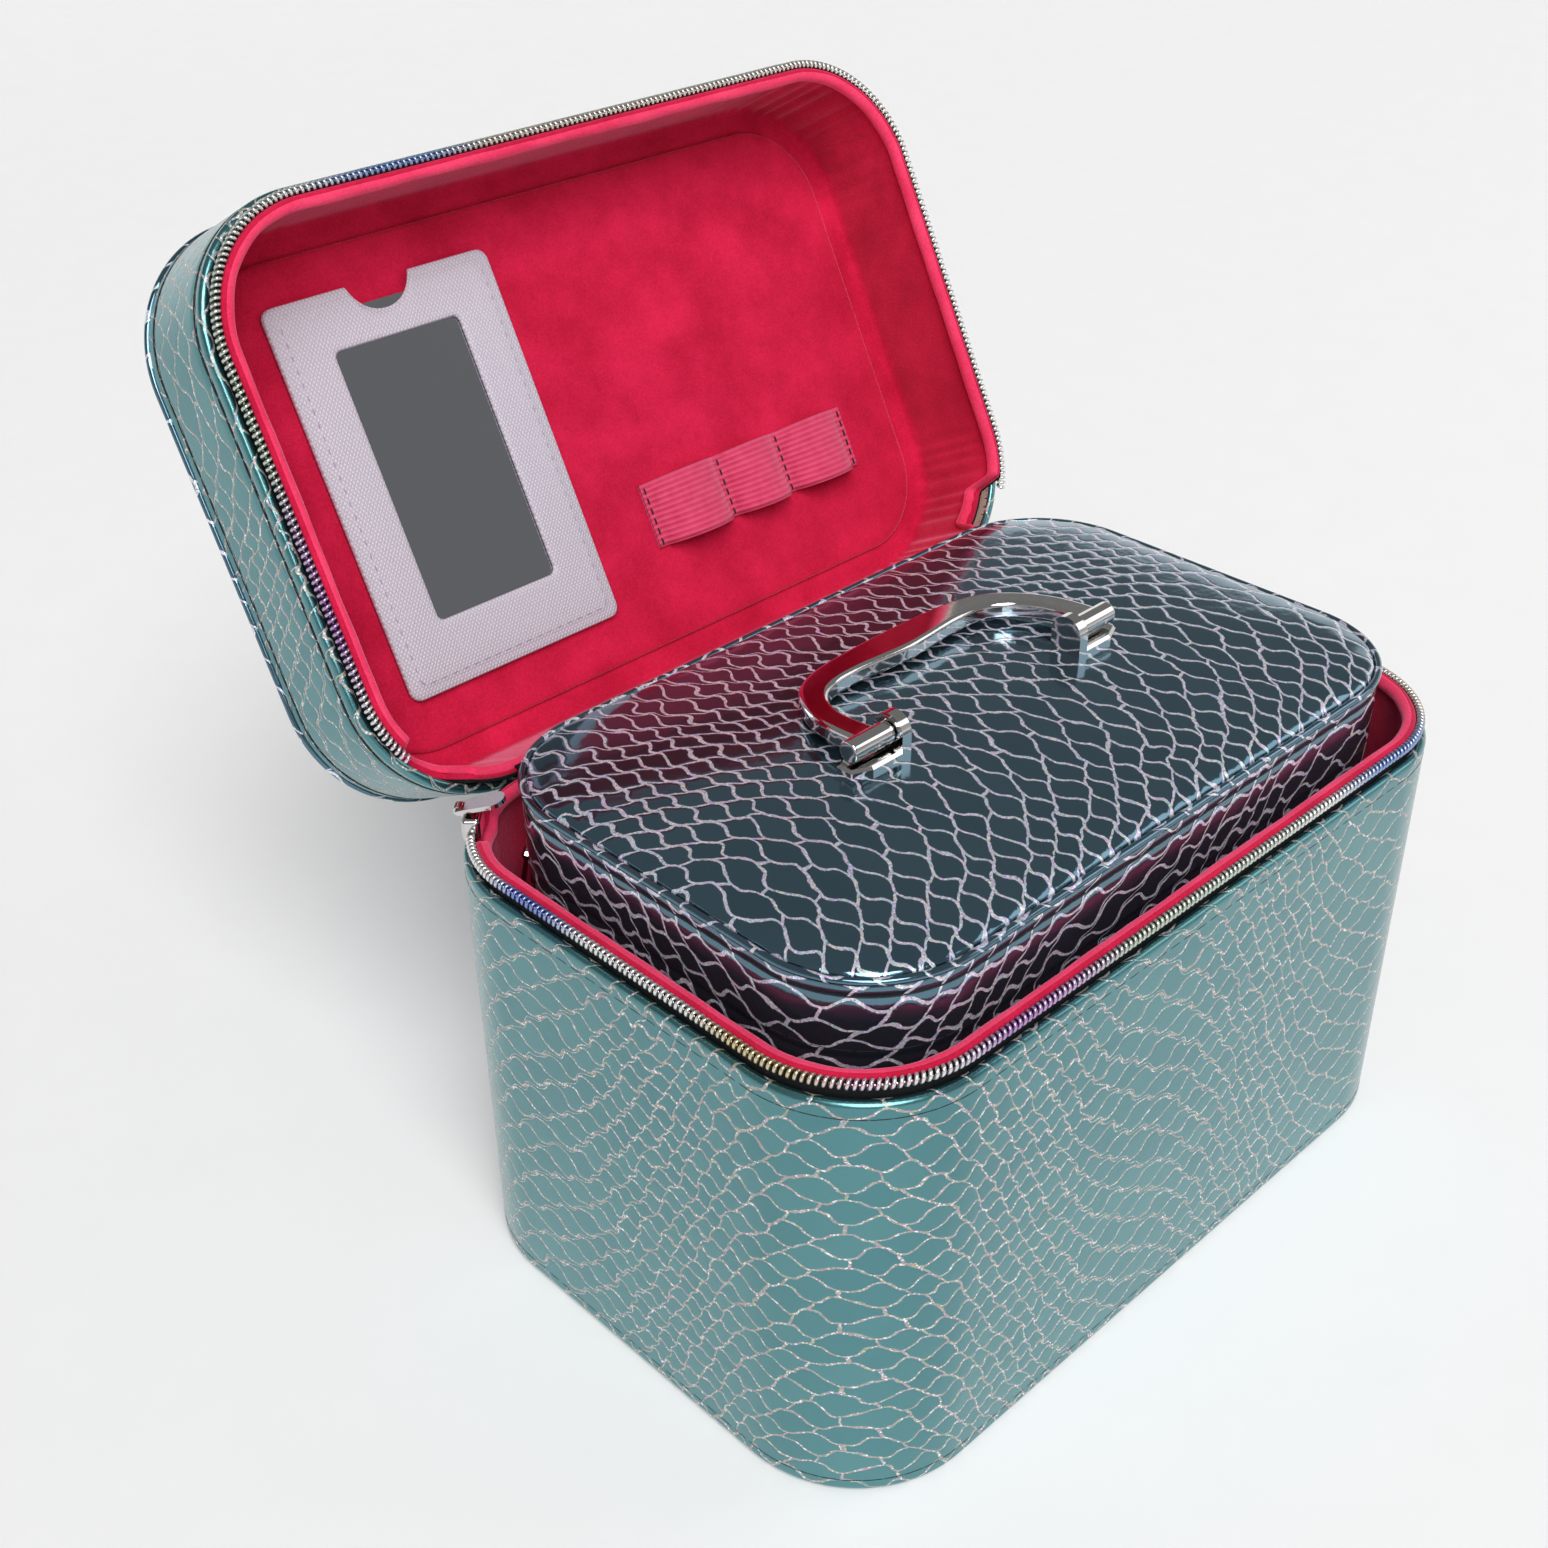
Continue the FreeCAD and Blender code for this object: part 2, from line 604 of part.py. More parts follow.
inner_nodes["inner_handle"] = moved(turned(bail, vec(0, 0, 0), X_AXIS, -drop), 0, pivot_y, handle_z)
for name, shape in inner_nodes.items():
    nodes[name] = moved(shape, 0, 0, inner_z)

os.makedirs("parts", exist_ok=True)
for name, shape in nodes.items():
    shape.exportStep("parts/" + name + ".step")
    print(name, len(shape.Solids), "solids", round(shape.Volume, 1), "mm3", "valid" if shape.isValid() else "NOT VALID")
print("hinge axis", round(hinge_at.y, 3), round(hinge_at.z, 3))
print("inner hinge axis", round(inner_d / 2.0 - cover_t - board_t - tape_t / 2.0, 3), round(inner_parting_z, 3))
print("inner handle pivot", pivot_y, round(handle_z + inner_z, 3), "lying", round(drop, 2))
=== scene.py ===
"""Looks of a nested pair of zip-round vanity cases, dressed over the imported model."""
import logging
import math
from dataclasses import dataclass, field
from enum import Enum
from typing import Callable, Protocol, Sequence

import bmesh
import bpy
import numpy as np
from mathutils import Matrix, Vector


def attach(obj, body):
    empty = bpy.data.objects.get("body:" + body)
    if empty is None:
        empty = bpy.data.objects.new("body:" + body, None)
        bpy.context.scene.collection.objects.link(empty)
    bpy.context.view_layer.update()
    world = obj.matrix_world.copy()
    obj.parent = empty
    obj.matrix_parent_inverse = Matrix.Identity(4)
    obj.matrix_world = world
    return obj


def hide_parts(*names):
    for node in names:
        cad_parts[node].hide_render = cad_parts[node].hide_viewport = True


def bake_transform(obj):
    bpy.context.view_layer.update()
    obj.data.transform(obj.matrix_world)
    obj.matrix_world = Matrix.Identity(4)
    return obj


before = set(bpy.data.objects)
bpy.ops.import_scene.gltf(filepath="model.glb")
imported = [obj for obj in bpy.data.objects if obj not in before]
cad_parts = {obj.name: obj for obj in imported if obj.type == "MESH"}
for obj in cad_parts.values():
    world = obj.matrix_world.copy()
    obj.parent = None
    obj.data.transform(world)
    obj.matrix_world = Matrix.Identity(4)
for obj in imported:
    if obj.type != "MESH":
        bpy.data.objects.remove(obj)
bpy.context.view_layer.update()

LOG = logging.getLogger("vanity_case")
logging.basicConfig(level=logging.INFO, format="%(name)s: %(message)s")

MM = 0.001
UV_NAME = "metres"
PHOTO_PX = 1548.0

# Layers of a wall, from the outside in, as in the solid model
COVER_T = 1.2 * MM
BOARD_T = 1.4 * MM
TAPE_T = 0.6 * MM
LINING_T = 1.4 * MM
FLOOR_T = 1.8 * MM
WALL_T = COVER_T + BOARD_T
SKIN_T = WALL_T + TAPE_T
ZIP_GAP = 5.2 * MM
OPEN_ANGLE = math.radians(117.75)

Array = np.ndarray
Colour = tuple[float, float, float, float]
Pair = tuple[float, float]
Material = bpy.types.Material
Piece = bpy.types.Object
Socket = bpy.types.NodeSocket
Value = Socket | float | Colour
Place = Callable[[Array], Array]


class Turn(Enum):
    """Which way up a half of a case is built."""

    UP = 1
    DOWN = -1


# Hollows for the sliders: depth, half width and easing, in millimetres
NOTCHES = {Turn.UP: (3.9, 5.4, 3.0), Turn.DOWN: (9.4, 6.4, 5.0)}


@dataclass(frozen=True)
class Outline:
    """Rounded rectangle walked from the middle of its rear side, leftwards and round.

    Attributes:
        width: size along X in metres.
        depth: size along Y in metres.
        radius: corner radius in metres.
    """

    width: float
    depth: float
    radius: float

    @property
    def spans(self) -> Array:
        """Lengths of the nine runs: half rear, arc, side, arc, front, arc, side, arc, half rear."""
        half = self.width / 2 - self.radius
        side = self.depth - 2 * self.radius
        arc = self.radius * math.pi / 2
        return np.array([half, arc, side, arc, 2 * half, arc, side, arc, half])

    @property
    def length(self) -> float:
        """Length once round, in metres."""
        return float(self.spans.sum())

    def at(self, s: Array) -> tuple[Array, Array]:
        """Points and outward directions at arc lengths.

        Args:
            s: arc lengths in metres.

        Returns:
            Two arrays of (n, 2): points and unit outward directions.
        """
        ends = np.cumsum(self.spans)
        run = np.clip(np.searchsorted(ends, s, side="right"), 0, 8)
        t = (s - (ends - self.spans)[run]) / self.spans[run]
        return self.at_run(run, t)

    def at_run(self, run: Array, t: Array) -> tuple[Array, Array]:
        """Points and outward directions on numbered runs.

        Args:
            run: (n,) run numbers, as in spans.
            t: (n,) share along each run.

        Returns:
            Two arrays of (n, 2): points and unit outward directions.
        """
        hx, hy, r = self.width / 2, self.depth / 2, self.radius
        ix, iy = hx - r, hy - r
        start = np.array([[0, hy], [0, 0], [-hx, iy], [0, 0], [-ix, -hy], [0, 0], [hx, -iy], [0, 0], [ix, hy]])
        step = np.array([[-ix, 0], [0, 0], [0, -2 * iy], [0, 0], [2 * ix, 0], [0, 0], [0, 2 * iy], [0, 0], [-ix, 0]])
        centre = np.array([[0, 0], [-ix, iy], [0, 0], [-ix, -iy], [0, 0], [ix, -iy], [0, 0], [ix, iy], [0, 0]])
        first = np.array([90, 90, 180, 180, 270, 270, 0, 0, 90.0])
        bends = np.array([0, 1, 0, 1, 0, 1, 0, 1, 0.0])
        angle = np.radians(first[run] + 90.0 * bends[run] * t)
        out = np.stack([np.cos(angle), np.sin(angle)], -1)
        round_part = bends[run][:, None]
        points = start[run] + step[run] * t[:, None] + round_part * (centre[run] + r * out)
        return points, out

    def ring_steps(self, spacing: float) -> Array:
        """Evenly spaced arc lengths once round, the last one left out."""
        count = max(int(round(self.length / spacing)), 16)
        return np.arange(count) * self.length / count

    def inset(self, by: float) -> "Outline":
        """The outline drawn in all round by a distance in metres."""
        return Outline(self.width - 2 * by, self.depth - 2 * by, max(self.radius - by, 0.2 * MM))


OUTER = Outline(228 * MM, 150 * MM, 34 * MM)
INNER = Outline(203.2 * MM, 128 * MM, 30 * MM)
HINGE_Y = OUTER.depth / 2 - WALL_T - TAPE_T / 2
BASE_H, LID_H = 118 * MM, 33 * MM
PART_Z = BASE_H + ZIP_GAP
INNER_Z = COVER_T + FLOOR_T + LINING_T + 0.3 * MM
INNER_BASE_H, INNER_LID_H = 100 * MM, 22 * MM
INNER_PART_Z = INNER_Z + INNER_BASE_H + ZIP_GAP

# Fittings inside the outer lid, as in the solid model
POCKET = Outline(68 * MM, 102.5 * MM, 3 * MM)
WINDOW = Outline(38 * MM, 71 * MM, 2 * MM)
POCKET_X = -51 * MM
POCKET_FROM_HINGE, WINDOW_UP = 22 * MM, 17 * MM
LOOP_SPANS = np.array([24.0, 20.0, 22.5]) * MM
LOOP_TAB, LOOP_W, LOOP_T, LOOP_RISE = 3 * MM, 18 * MM, 0.9 * MM, 6.0 * MM
LOOPS_FROM_SIDE, LOOPS_FROM_HINGE = 31.5 * MM, 34 * MM


def opened(points: Array) -> Array:
    """Turns points of the shut outer lid about its hinge to the open rest pose."""
    y = points[..., 1] - HINGE_Y
    z = points[..., 2] - PART_Z
    c, s = math.cos(OPEN_ANGLE), math.sin(OPEN_ANGLE)
    return np.stack([points[..., 0], HINGE_Y + y * c + z * s, PART_Z - y * s + z * c], -1)


def mesh_object(name: str, verts: Array, faces: Array, loop_uv: Array | None, material: Material) -> Piece:
    """Makes a smooth-shaded object at the origin with outward faces.

    Args:
        name: object name.
        verts: (n, 3) points in metres.
        faces: (m, k) corner indices.
        loop_uv: (m * k, 2) coordinates in metres, or None.
        material: the material that it takes.

    Returns:
        The linked object.
    """
    mesh = bpy.data.meshes.new(name)
    mesh.from_pydata(verts.reshape(-1, 3).tolist(), [], faces.tolist())
    if loop_uv is not None:
        layer = mesh.uv_layers.new(name=UV_NAME)
        layer.data.foreach_set("uv", loop_uv.astype(np.float32).ravel())
    work = bmesh.new()
    work.from_mesh(mesh)
    bmesh.ops.recalc_face_normals(work, faces=work.faces)
    work.to_mesh(mesh)
    work.free()
    mesh.polygons.foreach_set("use_smooth", np.ones(len(mesh.polygons), dtype=bool))
    mesh.materials.append(material)
    piece = bpy.data.objects.new(name, mesh)
    bpy.context.scene.collection.objects.link(piece)
    LOG.info("%s: %d faces", name, len(mesh.polygons))
    return piece


def grid_object(name: str, points: Array, uv: Array, material: Material, wrap_rows: bool = False,
                wrap_cols: bool = False) -> Piece:
    """Makes an object of a grid of points.

    Args:
        name: object name.
        points: (rows, cols, 3) in metres.
        uv: (rows + wrap, cols + wrap, 2) in metres, one more where the grid closes.
        material: its material.
        wrap_rows: whether the last row joins the first.
        wrap_cols: whether the last column joins the first.

    Returns:
        The linked object.
    """
    rows, cols = points.shape[:2]
    r = np.arange(rows if wrap_rows else rows - 1)[:, None]
    c = np.arange(cols if wrap_cols else cols - 1)[None, :]
    corners = [(r, c), (r, c + 1), (r + 1, c + 1), (r + 1, c)]
    faces = np.stack([(a % rows) * cols + b % cols for a, b in corners], -1).reshape(-1, 4)
    loop_uv = np.stack([uv[a, b] for a, b in corners], -2).reshape(-1, 2)
    return mesh_object(name, points, faces, loop_uv, material)


def run_lengths(profile: Array) -> Array:
    """Running length along a profile's points, with the closing step added at the end."""
    steps = np.linalg.norm(np.diff(np.vstack([profile, profile[:1]]), axis=0), axis=1)
    return np.concatenate([[0.0], np.cumsum(steps)])


def ring_piece(name: str, outline: Outline, profile: Array, place: Place, material: Material,
               spacing: float = 1.6 * MM, shift: Callable[[Array, int], Array] | None = None,
               uv_at: Pair = (0.0, 0.0), dip: Callable[[Array, Array], Array] | None = None) -> Piece:
    """A closed profile of (inset, height) carried round an outline.

    Args:
        name: object name.
        outline: the path.
        profile: (m, 2) of inset and height, a closed loop.
        place: turns local points into the shared frame.
        material: its material.
        spacing: distance between columns.
        shift: extra inset for each column (arc lengths) and row.
        uv_at: start of the coordinates.
        dip: lowers the heights, given arc lengths and heights.

    Returns:
        The linked object.
    """
    s = outline.ring_steps(spacing)
    p, out = outline.at(s)
    inset = profile[:, 0][:, None] + np.zeros(len(s))[None, :]
    if shift is not None:
        inset = inset + np.stack([shift(s, row) for row in range(len(profile))])
    xy = p[None] - out[None] * inset[..., None]
    z = np.broadcast_to(profile[:, 1][:, None], xy.shape[:2])
    if dip is not None:
        z = dip(s[None, :], z)
    points = place(np.concatenate([xy, z[..., None]], -1))
    u = np.append(s, outline.length) + uv_at[0]
    v = run_lengths(profile) + uv_at[1]
    uv = np.stack(np.meshgrid(u, v), -1)
    return grid_object(name, points, uv, material, True, True)


def disc_piece(name: str, outline: Outline, rows: Array, place: Place, material: Material,
               spacing: float = 2.0 * MM, lift: Callable[[Array, Array, Array], Array] | None = None,
               uv_at: Pair = (0.0, 0.0)) -> Piece:
    """A panel drawn in from an outline to its middle.

    Args:
        name: object name.
        outline: the panel's edge.
        rows: (m, 2) of share in towards the middle and height.
        place: turns local points into the shared frame.
        material: its material.
        spacing: distance between columns.
        lift: extra height from arc length, share and heights.
        uv_at: where the coordinates, which are plain Y and X, start.

    Returns:
        The linked object.
    """
    s = outline.ring_steps(spacing)
    p, _ = outline.at(s)
    share = rows[:, 0][:, None, None]
    z = np.broadcast_to(rows[:, 1][:, None], (len(rows), len(s))).copy()
    if lift is not None:
        z = z + lift(s[None, :], rows[:, 0][:, None], z)
    spine = np.sign(p) * np.maximum(np.abs(p) - outline.depth / 2, 0.0) * np.array([1.0, 0.0])
    xy = spine[None] * share + p[None] * (1.0 - share)
    points = place(np.concatenate([xy, z[..., None]], -1))
    flat = np.concatenate([xy, xy[:, :1]], 1)[..., ::-1] - np.array(uv_at)
    return grid_object(name, points, flat, material, False, True)


def frames(place: Place, path: Array, out: Array, z: float, rise: float = 1.0) -> tuple[Array, Array]:
    """Frames set along a level path.

    Args:
        place: turns local points into the shared frame.
        path: (n, 2) points.
        out: (n, 2) unit directions across the path.
        z: the path's height.
        rise: 1 where the third direction points up, -1 where it points down.

    Returns:
        (n, 3) origins and (n, 3, 3) directions: along, across and up.
    """
    zero = np.zeros((len(path), 1))
    origin = np.concatenate([path, zero + z], -1)
    along = np.concatenate([-out[:, 1:], out[:, :1], zero], -1)
    across = np.concatenate([out, zero], -1)
    up = np.broadcast_to(np.array([0.0, 0.0, rise]), across.shape)
    spot = place(origin)
    return spot, np.stack([place(origin + way) - spot for way in (along, across, up)], 1)


def scatter_piece(name: str, template: Array, faces: Array, origin: Array, axes: Array, material: Material,
                  marks: Array | None = None) -> Piece:
    """Copies of a small template set on frames.

    Args:
        name: object name.
        template: (v, 3) points.
        faces: (f, k) indices.
        origin: (n, 3) places.
        axes: (n, 3, 3), rows the directions of the template's axes.
        material: its material.
        marks: (n,) running length kept as the first coordinate.

    Returns:
        The linked object.
    """
    verts = origin[:, None] + np.einsum("vj,njk->nvk", template, axes)
    every = (faces[None] + (np.arange(len(origin)) * len(template))[:, None, None]).reshape(-1, faces.shape[1])
    mark = np.zeros(len(origin)) if marks is None else marks
    across = np.broadcast_to(template[faces.ravel(), 2][None], (len(origin), faces.size))
    uv = np.stack([np.repeat(mark, faces.size), across.ravel()], -1)
    return mesh_object(name, verts, every, uv, material)


def tube_template(path: Array, radius: Array, sides: int,
                  side_dir: Sequence[float] = (0.0, 1.0, 0.0)) -> tuple[Array, Array]:
    """Open tube of a varying radius along a path that lies across side_dir.

    Args:
        path: (n, 3) points.
        radius: (n,) radii.
        sides: corners of a section.
        side_dir: unit direction across the path.

    Returns:
        (n * sides, 3) points and (m, 4) corner indices.
    """
    way = np.gradient(path, axis=0)
    way /= np.linalg.norm(way, axis=1)[:, None]
    first = np.broadcast_to(np.array(side_dir), path.shape)
    second = np.cross(way, first)
    angle = np.arange(sides) * 2 * math.pi / sides
    ring = first[:, None] * np.cos(angle)[None, :, None] + second[:, None] * np.sin(angle)[None, :, None]
    verts = (path[:, None] + ring * radius[:, None, None]).reshape(-1, 3)
    r = np.arange(len(path) - 1)[:, None]
    c = np.arange(sides)[None]
    n = (c + 1) % sides
    faces = np.stack([r * sides + c, r * sides + n, (r + 1) * sides + n, (r + 1) * sides + c], -1).reshape(-1, 4)
    return verts, faces


class Graph:
    """Small helper that adds and links shader nodes."""

    def __init__(self, name: str) -> None:
        """Starts a material with a shader and an output."""
        self.material = bpy.data.materials.new(name)
        self.material.use_nodes = True
        self.tree = self.material.node_tree
        self.tree.nodes.clear()
        self.shader = self.add("ShaderNodeBsdfPrincipled")
        out = self.add("ShaderNodeOutputMaterial")
        self.tree.links.new(self.shader.outputs["BSDF"], out.inputs["Surface"])

    def add(self, kind: str, **settings: str | bool) -> bpy.types.Node:
        """Adds a node of a kind with its settings."""
        node = self.tree.nodes.new(kind)
        for key, value in settings.items():
            setattr(node, key, value)
        return node

    def put(self, socket: Socket, value: Value) -> None:
        """Links a socket to a socket, or sets it to a plain value."""
        if isinstance(value, bpy.types.NodeSocket):
            self.tree.links.new(value, socket)
        else:
            socket.default_value = value

    def split(self, vector: Socket) -> Sequence[Socket]:
        """The three parts of a vector."""
        node = self.add("ShaderNodeSeparateXYZ")
        self.put(node.inputs[0], vector)
        return node.outputs[:3]

    def math(self, operation: str, *values: Value, clamp: bool = False) -> Socket:
        """One operation on numbers."""
        node = self.add("ShaderNodeMath", operation=operation, use_clamp=clamp)
        for socket, value in zip(node.inputs, values):
            self.put(socket, value)
        return node.outputs[0]

    def ramp(self, value: Value, low: float, high: float, to_low: float = 0.0, to_high: float = 1.0) -> Socket:
        """Smooth step of a value from one range to another."""
        node = self.add("ShaderNodeMapRange", interpolation_type="SMOOTHSTEP")
        keys = ("Value", "From Min", "From Max", "To Min", "To Max")
        for key, item in zip(keys, (value, low, high, to_low, to_high)):
            self.put(node.inputs[key], item)
        return node.outputs["Result"]

    def mix(self, share: Value, first: Value, second: Value) -> Socket:
        """A share of the way from the first colour to the second."""
        node = self.add("ShaderNodeMix", data_type="RGBA", blend_type="MIX")
        for index, value in ((0, share), (6, first), (7, second)):
            self.put(node.inputs[index], value)
        return node.outputs[2]

    def noise(self, vector: Socket, scale: float, detail: float = 2.0, rough: float = 0.5,
              **sizes: str) -> bpy.types.Node:
        """Noise over a vector."""
        node = self.add("ShaderNodeTexNoise", **sizes)
        self.put(node.inputs["Vector"], vector)
        self.put(node.inputs["Scale"], scale)
        self.put(node.inputs["Detail"], detail)
        self.put(node.inputs["Roughness"], rough)
        return node

    def metres(self) -> Socket:
        """The piece's own coordinates in metres."""
        return self.add("ShaderNodeUVMap", uv_map=UV_NAME).outputs["UV"]

    def space(self) -> Socket:
        """Object coordinates, in metres."""
        return self.add("ShaderNodeTexCoord").outputs["Object"]

    def bump(self, height: Value, strength: float, distance: float, normal: Socket | None = None) -> Socket:
        """A normal bent by a height, over another normal where there is one."""
        node = self.add("ShaderNodeBump")
        self.put(node.inputs["Height"], height)
        self.put(node.inputs["Strength"], strength)
        self.put(node.inputs["Distance"], distance)
        if normal is not None:
            self.put(node.inputs["Normal"], normal)
        return node.outputs["Normal"]

    def set(self, **values: Value) -> Material:
        """Sets the shader's inputs, named with underscores, and gives the material."""
        for key, value in values.items():
            self.put(self.shader.inputs[key.replace("_", " ")], value)
        return self.material


class Finish(Protocol):
    """Anything that builds a material."""

    def build(self) -> Material:
        """Makes the material."""


@dataclass(frozen=True)
class Snakeskin:
    """Metallic snakeskin print: mirror-like scales parted by pale glittering lines.

    The first coordinate runs across columns of scales. Broad lens-shaped belly scales repeat along it
    and small slanting ones lie between. The second coordinate runs across staggered rows.

    Attributes:
        name: material name.
        deep: darkest scale colour.
        pale: lightest scale colour.
        line: mean colour of the lines.
        rough: roughness of a scale.
        sparkle: how far the glitter leans to other hues.
        period: distance from one column of belly scales to the next.
        wide: width of a belly scale.
        narrow: width of a small scale.
        row: height of a row.
        slant: how far the dividers lean, in scales.
        bold: thickness added to the lines, in millimetres.
        wander: how far noise moves the print each way, in metres.
        fray: raggedness of the lines.
        glints: glitter grains to a metre.
    """

    name: str
    deep: Colour
    pale: Colour
    line: Colour
    rough: float = 0.26
    sparkle: float = 0.25
    period: float = 92 * MM
    wide: float = 15 * MM
    narrow: float = 5.0 * MM
    row: float = 4.9 * MM
    slant: float = 0.75
    bold: float = 0.0
    wander: Pair = (0.0062, 0.0050)
    fray: float = 0.55 * MM
    glints: float = 2700.0

    def build(self) -> Material:
        """Staggered rows whose shared edges zigzag, cut into scales by slanting dividers."""
        g = Graph(self.name)
        place = g.metres()
        wander = g.noise(place, 70.0, 2.0, noise_dimensions="2D").outputs["Color"]
        sway = g.add("ShaderNodeVectorMath", operation="MULTIPLY_ADD")
        g.put(sway.inputs[0], wander)
        sway.inputs[1].default_value = (*self.wander, 0.0)
        g.put(sway.inputs[2], place)
        u, v, _ = g.split(sway.outputs[0])
        mean = 2.0 / (1.0 / self.wide + 1.0 / self.narrow)
        swing = 1.0 - mean / self.wide
        turn = g.math("MULTIPLY", u, 2 * math.pi / self.period)
        belly = g.math("MULTIPLY_ADD", g.math("COSINE", turn), 0.5, 0.5)
        shift = g.math("MULTIPLY", g.math("SINE", turn), -swing * self.period / (2 * math.pi))
        column = g.math("DIVIDE", g.math("ADD", u, shift), mean)
        level = g.math("DIVIDE", v, self.row)
        zig = g.math("MULTIPLY_ADD", belly, 0.26, 0.13)
        wave = g.math("MULTIPLY", g.math("COSINE", g.math("MULTIPLY", column, 2 * math.pi)),
                      g.math("COSINE", g.math("MULTIPLY", level, math.pi)))
        level = g.math("ADD", level, g.math("MULTIPLY", zig, wave))
        row = g.math("FLOOR", level)
        up = g.math("SUBTRACT", level, row)
        odd = g.math("FLOORED_MODULO", row, 2.0)
        lean = g.math("MULTIPLY", g.math("SINE", g.math("MULTIPLY", turn, 0.25)), self.slant)
        cut = g.math("ADD", column, g.math("MULTIPLY_ADD", odd, -0.5, 0.5))
        cut = g.math("ADD", cut, g.math("MULTIPLY", lean, g.math("SUBTRACT", up, 0.5)))
        cell = g.math("FLOOR", cut)
        over = g.math("SUBTRACT", cut, cell)
        local = g.math("DIVIDE", mean, g.math("MULTIPLY_ADD", g.math("COSINE", turn), -swing, 1.0))
        to_row = g.math("MULTIPLY", g.math("MINIMUM", up, g.math("SUBTRACT", 1.0, up)), self.row)
        to_side = g.math("MULTIPLY", g.math("MINIMUM", over, g.math("SUBTRACT", 1.0, over)), local)
        ragged = g.noise(place, 1100.0, 2.0, noise_dimensions="2D").outputs["Fac"]
        fray = g.math("MULTIPLY", g.math("SUBTRACT", ragged, 0.5), self.fray)
        to_row = g.math("ADD", to_row, fray)
        to_side = g.math("ADD", g.math("ADD", to_side, fray), g.math("MULTIPLY", belly, -0.16 * MM))
        thick, thin = (0.34 + self.bold) * MM, (0.17 + self.bold) * MM
        inside = g.math("MULTIPLY", g.ramp(to_row, thick - 0.1 * MM, thick + 0.14 * MM),
                        g.ramp(to_side, thin - 0.1 * MM, thin + 0.14 * MM))
        label = g.add("ShaderNodeCombineXYZ")
        g.put(label.inputs[0], cell)
        g.put(label.inputs[1], row)
        own = g.add("ShaderNodeTexWhiteNoise", noise_dimensions="2D")
        g.put(own.inputs["Vector"], label.outputs[0])
        glints = g.add("ShaderNodeTexVoronoi", voronoi_dimensions="2D", feature="F1")
        g.put(glints.inputs["Vector"], place)
        glints.inputs["Scale"].default_value = self.glints
        spark = g.add("ShaderNodeSeparateColor")
        g.put(spark.inputs[0], glints.outputs["Color"])
        drift = g.noise(place, 14.0, 2.0, noise_dimensions="2D").outputs["Fac"]
        share = g.math("ADD", g.math("MULTIPLY", own.outputs["Value"], 0.4), g.math("MULTIPLY", drift, 0.6))
        scale_colour = g.mix(share, self.deep, self.pale)
        tint = g.mix(self.sparkle, self.line, glints.outputs["Color"])
        line_colour = g.mix(g.ramp(spark.outputs[0], 0.72, 1.0), tint, (1.0, 0.98, 1.0, 1.0))
        line_colour = g.mix(g.ramp(spark.outputs[1], 0.88, 1.0, 0.0, 0.75), line_colour, self.deep)
        colour = g.mix(inside, line_colour, scale_colour)
        dome = g.ramp(g.math("MINIMUM", to_row, to_side), 0.1 * MM, 1.3 * MM)
        grit = g.math("MULTIPLY", spark.outputs[2], g.math("SUBTRACT", 1.0, inside))
        height = g.math("ADD", dome, g.math("MULTIPLY", grit, 0.6))
        soft = g.noise(place, 160.0, 2.0, noise_dimensions="2D").outputs["Fac"]
        normal = g.bump(height, 0.35, 0.16 * MM, g.bump(soft, 0.16, 0.5 * MM))
        rough = g.math("MULTIPLY_ADD", g.math("SUBTRACT", 1.0, inside), 0.24, self.rough)
        metal = g.math("MULTIPLY_ADD", inside, 0.42, 0.5)
        return g.set(Base_Color=colour, Metallic=metal, Roughness=rough, Normal=normal,
                     Coat_Weight=0.25, Coat_Roughness=0.1)


@dataclass(frozen=True)
class Velour:
    """Short-pile crimson lining with a nap that shades in patches."""

    name: str = "velour"
    low: Colour = (0.42, 0.004, 0.030, 1.0)
    high: Colour = (0.74, 0.016, 0.075, 1.0)
    sheen: Colour = (1.0, 0.30, 0.46, 1.0)

    def build(self) -> Material:
        """Patches of nap over fine fuzz."""
        g = Graph(self.name)
        place = g.space()
        nap = g.noise(place, 55.0, 4.0, 0.6).outputs["Fac"]
        fuzz = g.noise(place, 1500.0, 3.0, 0.7).outputs["Fac"]
        shade = g.math("ADD", g.math("MULTIPLY", nap, 0.65), g.math("MULTIPLY", fuzz, 0.45))
        colour = g.mix(g.ramp(shade, 0.3, 0.85), self.low, self.high)
        normal = g.bump(fuzz, 0.5, 0.5 * MM, g.bump(nap, 0.15, 1.5 * MM))
        return g.set(Base_Color=colour, Roughness=0.9, Normal=normal, Sheen_Weight=0.85,
                     Sheen_Roughness=0.4, Sheen_Tint=self.sheen, Specular_IOR_Level=0.1)


